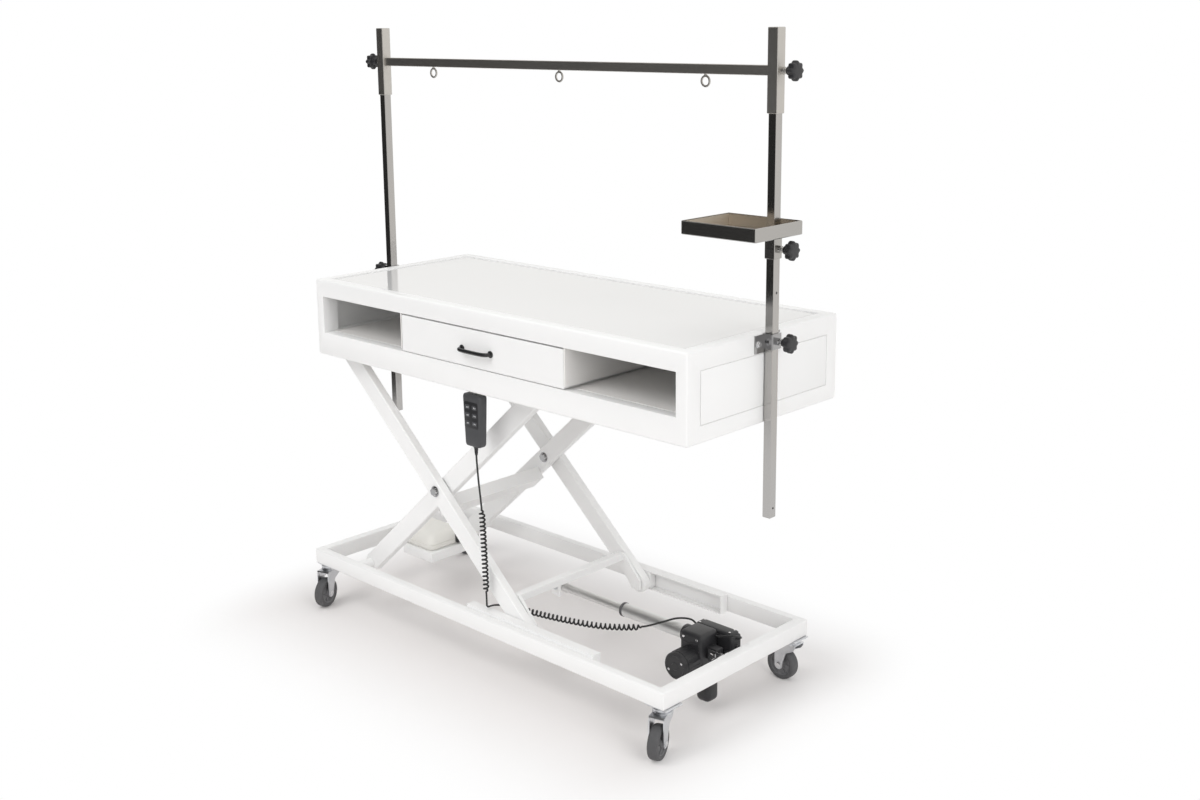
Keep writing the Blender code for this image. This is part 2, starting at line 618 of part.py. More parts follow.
# The table box. The left end is notched inside for the tops of the A arms.
WALL = BOARD_WALL
for label, s in (("left", -1), ("right", 1)):
    xs = sorted((s * IN_X, s * HALF_L))
    end = box("table_end_" + label, WHITE, xs, (-HALF_W, HALF_W), (BOX_Z0, TABLE_TOP), 0.0025)
    panel_x = sorted((s * (HALF_L - END_PANEL_DEPTH), s * (HALF_L + 0.01)))
    panel_y = (-HALF_W + 0.040, HALF_W - 0.037)
    cut(end, box("end_panel_" + label, WHITE, panel_x, panel_y, (BOX_Z0 + 0.036, OPEN_Z1)))
    inner_x = sorted((s * (IN_X - 0.01), s * (HALF_L - 0.008)))
    inner_y = (-HALF_W + 0.042, HALF_W - 0.042)
    cut(end, box("end_inner_" + label, WHITE, inner_x, inner_y, (OPEN_Z0 + 0.002, OPEN_Z1)))
    if label == "left":
        for part in ("front", "rear"):
            notch_y = side(ARM_A_IN - 0.004, ARM_A_OUT + 0.004, part == "front")
            notch_z = (BOX_Z0 - 0.01, FLOOR_Z1 - FLOOR_T - WALL)
            cut(end, box("end_notch_" + part, WHITE, inner_x, notch_y, notch_z))
XI = (-IN_X + GAP, IN_X - GAP)
GROOVE_X = (-IN_X + 0.012, IN_X - 0.012)
LOW_GROOVE_Z = (BOX_Z0 + WALL, FLOOR_Z1 - FLOOR_T - WALL)
upper = box("table_front_top", WHITE, XI, (-HALF_W, -IN_Y), (OPEN_Z1, TABLE_TOP), 0.0025)
FRONT_Y = (-HALF_W + WALL, -IN_Y + 0.01)
cut(upper, box("front_top_groove", WHITE, GROOVE_X, FRONT_Y, (OPEN_Z1 + WALL, SHEET_Z0 - WALL)))
back = box("table_back", WHITE, XI, (IN_Y, HALF_W), (BOX_Z0, TABLE_TOP), 0.0025)
BACK_Y = (IN_Y - 0.01, HALF_W - WALL)
cut(back, box("back_groove_high", WHITE, GROOVE_X, BACK_Y, (FLOOR_Z1 + WALL, SHEET_Z0 - WALL)),
    box("back_groove_low", WHITE, GROOVE_X, BACK_Y, LOW_GROOVE_Z))
box("tabletop", SHEET, XI, (-IN_Y + GAP, IN_Y - GAP), (SHEET_Z0, TABLE_TOP - SHEET_DROP), 0.001)
low = box("table_front_low", WHITE, XI, (-HALF_W, -IN_Y), (BOX_Z0, OPEN_Z0), 0.0025)
cut(low, box("front_low_groove", WHITE, GROOVE_X, FRONT_Y, LOW_GROOVE_Z))
HS_X = FOOT_X - 0.1107
HS_Y = -HALF_W + 0.0135
HS_Z1 = BOX_Z0 - 0.007
add(low, cyl("hook_stem", ZINC, "Z", HS_X, HS_Y + 0.006, 0.0020, HS_Z1 + 0.0025, BOX_Z0 + 0.002, 12))
add(low, box("hook_bar", ZINC, (HS_X - 0.002, HS_X + 0.002), (HS_Y - 0.008, HS_Y + 0.008),
             (HS_Z1 + 0.0005, HS_Z1 + 0.0035)))
# The floor stands a little higher in the two compartments than under the drawer.
FLOOR_Y = (-IN_Y + GAP, IN_Y - GAP)
STEP_X = PARTITION_X + PARTITION_T + 0.0015
floor = box("table_floor", WHITE, XI, FLOOR_Y, (FLOOR_Z1 - FLOOR_T, FLOOR_Z1 + FLOOR_STEP))
cut(floor, box("floor_step", WHITE, (-STEP_X, STEP_X), (-HALF_W, HALF_W), (FLOOR_Z1, FLOOR_Z1 + 0.01)))
WING = [(-HALF_W + 0.0006, FLOOR_Z1 + PARTITION_LIFT), (IN_Y - GAP, FLOOR_Z1 + PARTITION_LIFT),
        (IN_Y - GAP, SHEET_Z0 - GAP), (-IN_Y + GAP, SHEET_Z0 - GAP), (-IN_Y + GAP, OPEN_Z1 - GAP),
        (-HALF_W + 0.0006, OPEN_Z1 - GAP)]
for label, s in (("left", -1), ("right", 1)):
    prism("partition_" + label, WHITE, "X", WING, *sorted((s * PARTITION_X, s * (PARTITION_X + PARTITION_T))))

# The hangers under the floor, with the fixed pins of the A arms and the channels for the B arms.
for label in ("front", "rear"):
    f = label == "front"
    z0 = TOP_PIVOT_Z - TOP_SHOE_R - SHOE_GAP - LIP
    z1 = TOP_PIVOT_Z + TOP_SHOE_R + SHOE_GAP + LIP
    y_in = ARM_A_OUT + 0.002
    y_out = SHOE_Y1 + 0.0037
    x1 = B_TOP_X + TOP_TRAVEL + TOP_SHOE_R + 0.010
    web_y = side(y_in - 0.01, y_out - LIP, f)
    hang_z = (z0, FLOOR_Z1 - FLOOR_T - GAP)
    hang = box("hanger_" + label, WHITE, (-IN_X + GAP, x1), side(y_in, y_out, f), hang_z)
    cut(hang, box("hanger_slot_" + label, WHITE, (A_TOP_X + 0.035, x1 + 0.01), web_y, (z0 + LIP, z1 - LIP)))
    cut(hang, box("hanger_web_" + label, WHITE, (-HALF_L, x1 + 0.01), web_y, (z1, FLOOR_Z1)))
    pin_y = side(ARM_A_IN - 0.0005, y_in + 0.004, f)
    cap_y = side(ARM_A_IN - 0.0035, ARM_A_IN - GAP, f)
    add(hang, cyl("hanger_pin_" + label, ZINC, "Y", A_TOP_X, TOP_PIVOT_Z, PIN_R, *pin_y),
        cyl("hanger_cap_" + label, ZINC, "Y", A_TOP_X, TOP_PIVOT_Z, 0.011, *cap_y))

# The drawer.
DX = PARTITION_X - 0.0015
DRAWER_Y0 = -HALF_W + 0.018
DRAWER_Y1 = DRAWER_Y0 + DRAWER_DEPTH
DRAWER_Z1 = OPEN_Z1 - 0.019
TRAY_DX = DX - 0.006
front = box("drawer_box", WHITE, (-DX, DX), (-HALF_W, DRAWER_Y0), (OPEN_Z0 + 0.002, OPEN_Z1 - 0.004), 0.0015)
add(front, box("drawer_tray", WHITE, (-TRAY_DX, TRAY_DX), (DRAWER_Y0 - 0.001, DRAWER_Y1),
               (FLOOR_Z1 + GAP, DRAWER_Z1)))
cut(front, box("drawer_space", WHITE, (-TRAY_DX + DRAWER_WALL, TRAY_DX - DRAWER_WALL),
               (DRAWER_Y0, DRAWER_Y1 - DRAWER_WALL), (FLOOR_Z1 + 0.003, DRAWER_Z1 + 0.02)))
HX = -0.006
HZ = (OPEN_Z0 + OPEN_Z1) / 2 - 0.0045
BOW = ((-1.0, 0.0), (-1.0, 0.2), (-1.0, 0.4), (-0.88, 0.78), (-0.60, 0.96), (0.0, 1.0),
       (0.60, 0.96), (0.88, 0.78), (1.0, 0.4), (1.0, 0.2), (1.0, 0.0))
arc = [(HX + HANDLE_HALF * u, -HALF_W - GAP - HANDLE_OUT * w, HZ) for u, w in BOW]
sweep("drawer_handle", BLACK, smooth(arc, 0.005), 0.0045, 10)


# The gantry: posts in clamps, a crossbar on sleeves, and a tray.
def square(cx, w):
    return (cx - w / 2, cx + w / 2), (-w / 2, w / 2)


def boss_x(name, s, z, x0):
    return cyl(name, STEEL, "X", 0.0, z, 0.0075, *sorted((s * x0, s * (x0 + 0.009))), 20)


def screw_hole(name, s, z):
    return cyl(name, STEEL, "X", 0.0, z, 0.0035, *sorted((s * (POST_X + 0.004), s * (POST_X + 0.0475))), 16)


def knob(name, s, z):
    tip = POST_X + POST / 2 + GAP
    lobes = []
    for i in range(24):
        t = 2 * math.pi * i / 24
        r = KNOB_R * (0.94 + 0.06 * math.cos(8 * t))
        lobes.append((r * math.cos(t), z + r * math.sin(t)))
    body = prism(name, BLACK, "X", lobes, *sorted((s * (POST_X + 0.0375), s * (POST_X + 0.0535))), 0.002)
    neck_x = sorted((s * (POST_X + 0.0275), s * (POST_X + 0.0385)))
    neck = cyl(name + "_neck", BLACK, "X", 0.0, z, 0.0085, *neck_x, 20)
    shaft = cyl(name + "_screw", ZINC, "X", 0.0, z, 0.0030, *sorted((s * tip, s * (POST_X + 0.0285))), 16)
    add(body, neck, shaft)


for label, s in (("left", -1), ("right", 1)):
    sx, sy = square(s * POST_X, POST)
    post = box("post_" + label, STEEL, sx, sy, (POST_Z0, POST_Z1), 0.0012)
    ix, iy = square(s * POST_X, POST - 2 * POST_WALL)
    cut(post, box("post_bore_" + label, STEEL, ix, iy, (POST_Z0 - 0.01, POST_Z1 + 0.01)))
    for n, hz in enumerate((TABLE_TOP + 0.083, POST_Z0 + 0.021)):
        hole_x = sorted((s * POST_X, s * (POST_X + 0.02)))
        cut(post, cyl(f"post_hole_{label}_{n}", STEEL, "X", 0.0, hz, 0.0025, *hole_x, 12))
    flange_x = sorted((s * (HALF_L + GAP), s * (HALF_L + 0.0022)))
    flange_z = (TABLE_TOP - 0.040, TABLE_TOP - 0.002)
    flange = box("clamp_" + label, STEEL, flange_x, (-0.042, 0.042), flange_z, 0.0004)
    ring_x = sorted((s * (HALF_L + GAP), s * (POST_X + POST / 2 + SLEEVE_CLEAR + 0.0035)))
    ox, oy = square(s * POST_X, POST + 2 * SLEEVE_CLEAR + 0.007)
    add(flange, box("clamp_ring_" + label, STEEL, ring_x, oy, (TABLE_TOP - 0.032, TABLE_TOP), 0.0004),
        boss_x("clamp_boss_" + label, s, CLAMP_Z, POST_X + POST / 2 + SLEEVE_CLEAR + 0.0025))
    hx, hy = square(s * POST_X, POST + 2 * SLEEVE_CLEAR)
    cut(flange, box("clamp_hole_" + label, STEEL, hx, hy, (TABLE_TOP - 0.07, TABLE_TOP + 0.03)),
        screw_hole("clamp_tap_" + label, s, CLAMP_Z))
    knob("knob_clamp_" + label, s, CLAMP_Z)
    knob("knob_bar_" + label, s, BAR_Z)

bar = box("crossbar", STEEL, (-POST_X + 0.010, POST_X - 0.010), (-BAR_W / 2, BAR_W / 2),
          (BAR_Z - BAR_H / 2, BAR_Z + BAR_H / 2), 0.001)
for label, s in (("left", -1), ("right", 1)):
    ox, oy = square(s * POST_X, SLEEVE)
    add(bar, box("sleeve_" + label, STEEL, ox, oy, (SLEEVE_Z0, SLEEVE_Z1), 0.0012))
    add(bar, boss_x("sleeve_boss_" + label, s, BAR_Z, POST_X + SLEEVE / 2 - 0.001))
EYE_R = 0.0105
EYE_WIRE = 0.0024
EYE_Z = BAR_Z - BAR_H / 2 - 0.0145
for n, x in enumerate((-0.419, 0.015, 0.436)):
    add(bar, cyl(f"eye_stem_{n}", STEEL, "Z", x, 0.0, 0.0030, EYE_Z + 0.011, EYE_Z + 0.0165, 12))
    bm = bmesh.new()
    rings = []
    for i in range(16):
        t = 2 * math.pi * i / 16
        ring = []
        for k in range(6):
            q = math.pi / 3 * k
            d = EYE_R + EYE_WIRE * math.cos(q)
            ring.append(bm.verts.new((x + d * math.cos(t), EYE_WIRE * math.sin(q), EYE_Z + d * math.sin(t))))
        rings.append(ring)
    for i in range(16):
        for k in range(6):
            j = (i + 1) % 16
            m = (k + 1) % 6
            bm.faces.new((rings[i][k], rings[j][k], rings[j][m], rings[i][m]))
    add(bar, made(bm, f"eye_{n}", STEEL))
for label, s in (("left", -1), ("right", 1)):
    hx, hy = square(s * POST_X, POST + 2 * SLEEVE_CLEAR)
    cut(bar, box("sleeve_hole_" + label, STEEL, hx, hy, (SLEEVE_Z0 - 0.01, SLEEVE_Z1 - 0.003)),
        screw_hole("sleeve_tap_" + label, s, BAR_Z))

TX = (POST_X + TRAY_OUT - TRAY_L, POST_X + TRAY_OUT)
TY = (TRAY_BACK - TRAY_W, TRAY_BACK)
TRAY_Z0 = TRAY_Z - TRAY_H
pan = box("tray", STEEL, TX, TY, (TRAY_Z0, TRAY_Z), 0.0015)
cut(pan, box("tray_space", STEEL, (TX[0] + TRAY_WALL, TX[1] - TRAY_WALL),
             (TY[0] + TRAY_WALL, TY[1] - TRAY_WALL), (TRAY_Z0 + TRAY_WALL, TRAY_Z + 0.01)))
ox, oy = square(POST_X, SLEEVE)
add(pan, box("tray_sleeve", STEEL, ox, oy, (TRAY_Z - TRAY_SLEEVE_L, TRAY_Z0 + 0.001), 0.001),
    boss_x("tray_boss", 1, TRAY_KNOB_Z, POST_X + SLEEVE / 2 - 0.001))
hx, hy = square(POST_X, POST + 2 * SLEEVE_CLEAR)
cut(pan, box("tray_hole", STEEL, hx, hy, (TRAY_Z - 0.10, TRAY_Z)), screw_hole("tray_tap", 1, TRAY_KNOB_Z))
knob("knob_tray", 1, TRAY_KNOB_Z)

# The handset on its hook, with six keys.
HS_L = 0.120
CORD_TOP = HS_Z1 - HS_L
shape = [(HS_X - 0.030, HS_Z1), (HS_X - 0.024, CORD_TOP), (HS_X + 0.024, CORD_TOP), (HS_X + 0.030, HS_Z1)]
shell = prism("handset", DARK, "Y", shape, HS_Y - 0.0125, HS_Y + 0.0125, 0.004)
n = 0
for row in range(3):
    for col in (-1, 1):
        kx = HS_X + col * 0.0115
        kz = HS_Z1 - 0.028 - row * 0.0185
        cut(shell, box(f"key_well_{n}", DARK, (kx - 0.0078, kx + 0.0078), (HS_Y - 0.02, HS_Y - 0.0100),
                       (kz - 0.0053, kz + 0.0053)))
        box(f"key_{n + 1}", DARK, (kx - 0.0075, kx + 0.0075), (HS_Y - 0.0133, HS_Y - 0.0113),
            (kz - 0.0050, kz + 0.0050), 0.0004)
        n += 1

# The curly cord, in a hanging stretch and a lying stretch, and the motor's short lead.
SPLIT = Vector((HS_X + 0.003, -RAIL_IN + 0.010, RAIL_Z1 + 0.022))


def fall(t, dx, share):
    """A point of the hanging cord: t of the height left, and a share of the way in to the split."""
    return (HS_X + dx, HS_Y + (SPLIT.y - HS_Y) * share, SPLIT.z + (CORD_TOP - SPLIT.z) * t)


hang_line = [(HS_X, HS_Y, CORD_TOP - GAP), (HS_X, HS_Y, CORD_TOP - 0.03), fall(0.776, 0.001, 0.21),
             fall(0.594, 0.002, 0.58), fall(0.333, 0.003, 0.79), fall(0.073, 0.003, 0.97),
             (SPLIT.x, SPLIT.y, SPLIT.z + 0.012), (SPLIT.x, SPLIT.y, SPLIT.z + 0.006), tuple(SPLIT)]
hang_pts = curled(hang_line, 0.40, 0.93, 20)
print("least gap of the hanging cord to itself, mm:", round(least_gap(hang_pts, CORD_R) * 1000, 2))
sweep("cord_hanging", BLACK, hang_pts, CORD_R)
IN_Y_CORD = BOX_Y0 + 0.018
CX = SPLIT.x
CY = -ARM_A_IN
CZ = RAIL_Z1
lie_line = [(CX, SPLIT.y, SPLIT.z - GAP), (CX, SPLIT.y, SPLIT.z - 0.003), (CX, SPLIT.y, SPLIT.z - 0.006),
            (CX - 0.0005, SPLIT.y + 0.005, CZ + 0.012), (CX - 0.002, CY - 0.020, CZ + 0.0105),
            (CX - 0.001, CY - 0.003, CZ + 0.007), (CX + 0.017, CY + 0.015, CZ + 0.004),
            (CX + 0.057, CY + 0.025, CZ + 0.003), (CX + 0.087, CY + 0.031, CZ + 0.003),
            (CX + 0.167, CY + 0.051, CZ + 0.003), (CX + 0.257, CY + 0.083, CZ + 0.004),
            (TUBE_X1 - 0.095, ACT_Y - 0.055, ACT_Z + 0.004), (TUBE_X1 - 0.058, ACT_Y - 0.022, ACT_Z + 0.016),
            (TUBE_X1 - 0.040, ACT_Y, ACT_Z + 0.0225), (TUBE_X1 - 0.031, ACT_Y + 0.023, ACT_Z + 0.019),
            (TUBE_X1 - 0.025, IN_Y_CORD - 0.006, ACT_Z + 0.011), (TUBE_X1 - 0.019, IN_Y_CORD, ACT_Z + 0.003),
            (BOX_X0 - 0.004, IN_Y_CORD, ACT_Z + 0.001), (BOX_X0 - GAP, IN_Y_CORD, ACT_Z + 0.001)]
lie_pts = curled(lie_line, 0.18, 0.74, 28)
print("least gap of the lying cord to itself, mm:", round(least_gap(lie_pts, CORD_R) * 1000, 2))
sweep("cord_lying", BLACK, lie_pts, CORD_R)
LEAD_Y = BOX_Y0 + 0.020
lead_line = [(BOX_X1 + GAP, LEAD_Y, ACT_Z + 0.002), (BOX_X1 + 0.004, LEAD_Y, ACT_Z + 0.002),
             (BOX_X1 + 0.012, LEAD_Y - 0.001, ACT_Z + 0.007), (BOX_X1 + 0.015, LEAD_Y - 0.011, ACT_Z + 0.013),
             (BOX_X1 + 0.010, LEAD_Y - 0.023, ACT_Z + 0.017), (BOX_X1 - 0.004, LEAD_Y - 0.029, ACT_Z + 0.015),
             (CASE_X1 + 0.018, LEAD_Y - 0.031, ACT_Z + 0.010),
             (CASE_X1 + 0.008, LEAD_Y - 0.0315, ACT_Z + 0.0075),
             (CASE_X1 + 0.004, LEAD_Y - 0.0315, ACT_Z + 0.0075),
             (CASE_X1 + GAP, LEAD_Y - 0.0315, ACT_Z + 0.0075)]
sweep("motor_lead", BLACK, smooth(lead_line, 0.006), CORD_R)
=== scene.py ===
"""Looks of the veterinary x-ray table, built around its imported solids."""
import json
import math

import bmesh
import bpy
from mathutils import Matrix, Vector

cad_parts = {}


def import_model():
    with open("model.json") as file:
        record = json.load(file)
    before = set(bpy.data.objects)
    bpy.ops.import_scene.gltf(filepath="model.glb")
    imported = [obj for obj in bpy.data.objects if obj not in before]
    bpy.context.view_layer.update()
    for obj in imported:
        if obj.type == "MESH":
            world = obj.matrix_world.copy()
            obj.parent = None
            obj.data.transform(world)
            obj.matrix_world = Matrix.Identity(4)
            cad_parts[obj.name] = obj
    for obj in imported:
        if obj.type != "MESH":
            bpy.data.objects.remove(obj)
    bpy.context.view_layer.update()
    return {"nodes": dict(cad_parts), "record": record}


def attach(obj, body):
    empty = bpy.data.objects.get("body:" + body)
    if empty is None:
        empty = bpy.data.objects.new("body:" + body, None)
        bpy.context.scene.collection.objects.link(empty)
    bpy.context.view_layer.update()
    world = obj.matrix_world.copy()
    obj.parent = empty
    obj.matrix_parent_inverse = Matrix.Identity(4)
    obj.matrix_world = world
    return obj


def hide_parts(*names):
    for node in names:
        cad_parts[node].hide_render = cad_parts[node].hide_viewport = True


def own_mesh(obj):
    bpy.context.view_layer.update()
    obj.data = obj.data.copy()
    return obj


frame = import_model()
nodes = frame["nodes"]
scene = bpy.context.scene
scene.view_settings.view_transform = "Standard"

# Camera, fitted to the photograph.
CAM_AT = Vector((2.2950, -2.2673, 1.5012))
CAM_AZ, CAM_PITCH, CAM_ROLL = 44.199, 11.913, -0.633
CAM_FOCAL_PX, IMAGE_W = 1421.57, 1200
CAM_SHIFT = (0.0116, -0.07)

# Sizes shared with the solids, in metres.
HALF_L, HALF_W = 0.600, 0.250
IN_X, IN_Y = 0.572, 0.222
BOX_Z0, OPEN_Z0, OPEN_Z1, TABLE_TOP = 0.683, 0.740, 0.831, 0.872
BASE_X0, BASE_X1, RAIL_W, BEAM_W = -0.661, 0.541, 0.020, 0.025
RAIL_Z0, RAIL_Z1 = 0.112, 0.150
PIVOT_X, PIVOT_Z, TOP_PIVOT_Z = -0.5187, 0.128, 0.699
FOOT_X, MID_Z = 0.0807, 0.396
MID_X = (PIVOT_X + FOOT_X) / 2
ARM_ANGLE = math.atan2(MID_Z - PIVOT_Z, MID_X - PIVOT_X)
ARM_LOW = math.hypot(MID_Z - PIVOT_Z, MID_X - PIVOT_X)
ARM_HIGH = (TOP_PIVOT_Z - MID_Z) / math.sin(ARM_ANGLE)
ARM_L = ARM_LOW + ARM_HIGH
A_TOP_X = MID_X - ARM_HIGH * math.cos(ARM_ANGLE)
ARM_A_OUT, ARM_A_IN, ARM_B_OUT, ARM_B_IN = 0.205, 0.183, 0.179, 0.157
LIFT_TURN = 27.8  # degrees, down from the photographed height
LIFT_END = ARM_ANGLE - math.radians(LIFT_TURN)
LIFT_DROP = ARM_L * (math.sin(ARM_ANGLE) - math.sin(LIFT_END))
LIFT_DRIFT = (ARM_HIGH - ARM_LOW) * (math.cos(LIFT_END) - math.cos(ARM_ANGLE))
ACT_Y, ACT_Z, TUBE_X1, CASE_X0, CASE_X1 = -0.005, 0.158, 0.400, 0.4003, 0.462
BOX_X0, BOX_X1, BOX_Y0 = 0.390, 0.498, 0.0253  # the controller
POST_X = 0.6125
WHEEL_R, TRAIL = 0.0375, 0.024
HS_X, HS_Y, HS_Z1, HS_LEN = FOOT_X - 0.1107, -0.2365, 0.676, 0.120
GAP = 0.0003
CASTERS = {"fl": (-0.636, -0.225, -70.0), "fr": (0.516, -0.225, -70.0),
           "rl": (-0.636, 0.225, 90.0), "rr": (0.516, 0.225, 180.0)}


def aim_camera():
    az, pitch, roll = (math.radians(a) for a in (CAM_AZ, CAM_PITCH, CAM_ROLL))
    ahead = Vector((-math.sin(az) * math.cos(pitch), math.cos(az) * math.cos(pitch), -math.sin(pitch)))
    right = Vector((math.cos(az), math.sin(az), 0.0))
    up = right.cross(ahead)
    right, up = right * math.cos(roll) + up * math.sin(roll), up * math.cos(roll) - right * math.sin(roll)
    data = bpy.data.cameras.new("camera")
    data.sensor_width = 36.0
    data.lens = 36.0 * CAM_FOCAL_PX / IMAGE_W
    data.shift_x, data.shift_y = CAM_SHIFT
    cam = bpy.data.objects.new("camera", data)
    scene.collection.objects.link(cam)
    turn = Matrix((right, up, -ahead)).transposed().to_4x4()
    cam.matrix_world = Matrix.Translation(CAM_AT) @ turn
    scene.camera = cam


aim_camera()


# Materials.
def link(tree, a, out, b, into):
    tree.links.new(a.outputs[out], b.inputs[into])


def mat(name, color, rough, metal=0.0, vary=0.03, blotch=9.0, drough=0.06, grain=700.0, bump=0.05,
        stretch=(1.0, 1.0, 1.0), coat=0.0):
    """A finish with slow colour drift, uneven gloss and a fine grain, which an axis may draw out."""
    m = bpy.data.materials.new(name)
    m.use_nodes = True
    t = m.node_tree
    p = t.nodes["Principled BSDF"]
    p.inputs["Metallic"].default_value = metal
    p.inputs["Coat Weight"].default_value = coat
    p.inputs["Coat Roughness"].default_value = 0.08
    at = t.nodes.new("ShaderNodeTexCoord")
    move = t.nodes.new("ShaderNodeMapping")
    move.inputs["Scale"].default_value = stretch
    link(t, at, "Object", move, "Vector")
    slow = t.nodes.new("ShaderNodeTexNoise")
    slow.inputs["Scale"].default_value = blotch
    slow.inputs["Detail"].default_value = 4.0
    link(t, at, "Object", slow, "Vector")
    mix = t.nodes.new("ShaderNodeMix")
    mix.data_type = "RGBA"
    mix.inputs[6].default_value = (*[c * (1 - vary) for c in color], 1.0)
    mix.inputs[7].default_value = (*[min(1.0, c * (1 + vary)) for c in color], 1.0)
    link(t, slow, "Fac", mix, 0)
    t.links.new(mix.outputs[2], p.inputs["Base Color"])
    fine = t.nodes.new("ShaderNodeTexNoise")
    fine.inputs["Scale"].default_value = grain
    fine.inputs["Detail"].default_value = 3.0
    link(t, move, "Vector", fine, "Vector")
    span = t.nodes.new("ShaderNodeMapRange")
    span.inputs["To Min"].default_value = max(0.02, rough - drough)
    span.inputs["To Max"].default_value = rough + drough
    link(t, fine, "Fac", span, "Value")
    link(t, span, "Result", p, "Roughness")
    if bump:
        lift = t.nodes.new("ShaderNodeBump")
        lift.inputs["Strength"].default_value = bump
        lift.inputs["Distance"].default_value = 0.001
        link(t, fine, "Fac", lift, "Height")
        link(t, lift, "Normal", p, "Normal")
    return m


PAINT = mat("white_paint", (0.87, 0.87, 0.865), 0.34, vary=0.012, blotch=5.0, grain=520.0, bump=0.05,
            coat=0.1)
# A darker, warmer copy of the white paint for the compartments' floor and partitions: painted shade of those
# recesses.
PAINT_SHADED = mat("white_paint_shaded", (0.84, 0.825, 0.805), 0.42, vary=0.02, blotch=6.0, grain=520.0, bump=0.05)
SHEET = mat("sheet", (0.745, 0.745, 0.74), 0.10, vary=0.01, blotch=3.0, drough=0.03, grain=300.0, bump=0.006,
            coat=0.3)
STEEL_Z = mat("steel_upright", (0.46, 0.448, 0.435), 0.16, 1.0, vary=0.04, blotch=6.0, drough=0.05,
              grain=1.0, bump=0.0, stretch=(900.0, 900.0, 6.0))
STEEL_X = mat("steel_level", (0.44, 0.43, 0.415), 0.25, 1.0, vary=0.04, blotch=6.0, drough=0.05, grain=1.0,
              bump=0.0, stretch=(6.0, 900.0, 900.0))
STEEL_BAR = mat("steel_bar", (0.60, 0.58, 0.55), 0.50, 1.0, vary=0.05, blotch=6.0, drough=0.06, grain=1.0,
                bump=0.0, stretch=(6.0, 900.0, 900.0))
CHROME = mat("chrome", (0.72, 0.72, 0.73), 0.10, 1.0, vary=0.03, blotch=30.0, drough=0.03, grain=300.0,
             bump=0.01)
ZINC = mat("zinc", (0.66, 0.67, 0.69), 0.30, 1.0, vary=0.07, blotch=60.0, drough=0.09, grain=900.0, bump=0.05)
TUBE = mat("drawn_tube", (0.82, 0.825, 0.82), 0.56, 1.0, vary=0.04, blotch=12.0, drough=0.07, grain=1.0,
           bump=0.04, stretch=(6.0, 1100.0, 1100.0))
SATIN = mat("satin_steel", (0.80, 0.80, 0.79), 0.54, 1.0, vary=0.03, blotch=12.0, drough=0.05, grain=600.0,
            bump=0.01)
TRAY_IN = mat("tray_inside", (0.74, 0.685, 0.61), 0.50, 1.0, vary=0.04, blotch=14.0, drough=0.06,
              grain=500.0, bump=0.01)
CLAMP = mat("clamp_steel", (0.38, 0.38, 0.385), 0.13, 1.0, vary=0.06, blotch=40.0, drough=0.04, grain=400.0,
            bump=0.01)
BLACK = mat("black_plastic", (0.021, 0.021, 0.023), 0.42, vary=0.14, blotch=40.0, drough=0.08, grain=1500.0,
            bump=0.10)
GLOSS = mat("black_gloss", (0.016, 0.016, 0.017), 0.20, vary=0.10, blotch=40.0, drough=0.05, grain=900.0,
            bump=0.02)
DARK = mat("handset_shell", (0.056, 0.057, 0.061), 0.48, vary=0.10, blotch=40.0, drough=0.08, grain=1800.0,
           bump=0.12)
KEYCAP = mat("handset_key", (0.062, 0.063, 0.068), 0.55, vary=0.08, blotch=60.0, grain=1800.0, bump=0.10)
MARK = mat("key_mark", (0.62, 0.63, 0.64), 0.55, vary=0.05, blotch=200.0, grain=2000.0, bump=0.02)
RUBBER = mat("grey_rubber", (0.085, 0.085, 0.088), 0.62, vary=0.16, blotch=55.0, drough=0.10, grain=1300.0,
             bump=0.14)
HUB = mat("hub_plastic", (0.14, 0.14, 0.145), 0.46, vary=0.10, blotch=70.0, drough=0.08, grain=1300.0,
          bump=0.08)
CREAM = mat("cream_plastic", (0.82, 0.81, 0.765), 0.42, vary=0.015, blotch=10.0, grain=1200.0, bump=0.06)
CORD = mat("cord_jacket", (0.018, 0.018, 0.019), 0.46, vary=0.12, blotch=90.0, drough=0.08, grain=1600.0,
           bump=0.06)

SLOT_OF = {r["node"]: r["material_slot"] for r in frame["record"]["subparts"]}
LOOKS = {"white_paint": PAINT, "sheet": SHEET, "stainless": STEEL_Z, "zinc": ZINC, "black_plastic": BLACK,
         "dark_plastic": DARK, "grey_rubber": RUBBER, "cream_plastic": CREAM}
# The compartments' floor and partitions take the copy of the white paint with painted shade.
OWN_LOOKS = {"crossbar": STEEL_BAR, "tray": STEEL_X, "clamp_left": CLAMP, "clamp_right": CLAMP,
             "actuator_mount": CHROME, "table_floor": PAINT_SHADED, "partition_left": PAINT_SHADED,
             "partition_right": PAINT_SHADED}
for name, node in nodes.items():
    node.data.materials.clear()
    node.data.materials.append(OWN_LOOKS.get(name, LOOKS[SLOT_OF[name]]))


# Mesh helpers.
def piece(name, bm, look, body, hides=(), sharp=38.0):
    bmesh.ops.remove_doubles(bm, verts=bm.verts[:], dist=1e-6)
    bmesh.ops.recalc_face_normals(bm, faces=bm.faces[:])
    for f in bm.faces:
        f.smooth = True
    for e in bm.edges:
        if len(e.link_faces) == 2 and e.calc_face_angle(0.0) > math.radians(sharp):
            e.smooth = False
    mesh = bpy.data.meshes.new(name)
    bm.to_mesh(mesh)
    bm.free()
    ob = bpy.data.objects.new(name, mesh)
    scene.collection.objects.link(ob)
    mesh.materials.append(look)
    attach(ob, body)
    if hides:
        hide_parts(*hides)
    return ob


def block(bm, x, y, z, bevel=0.0, seg=3):
    made = bmesh.ops.create_cube(bm, size=1.0)["verts"]
    for v in made:
        v.co = Vector((x[0] + (v.co.x + 0.5) * (x[1] - x[0]), y[0] + (v.co.y + 0.5) * (y[1] - y[0]),
                       z[0] + (v.co.z + 0.5) * (z[1] - z[0])))
    if bevel:
        edges = list(dict.fromkeys(e for v in made for e in v.link_edges))
        bmesh.ops.bevel(bm, geom=edges, offset=bevel, segments=seg, affect="EDGES", profile=0.5)
    return bm


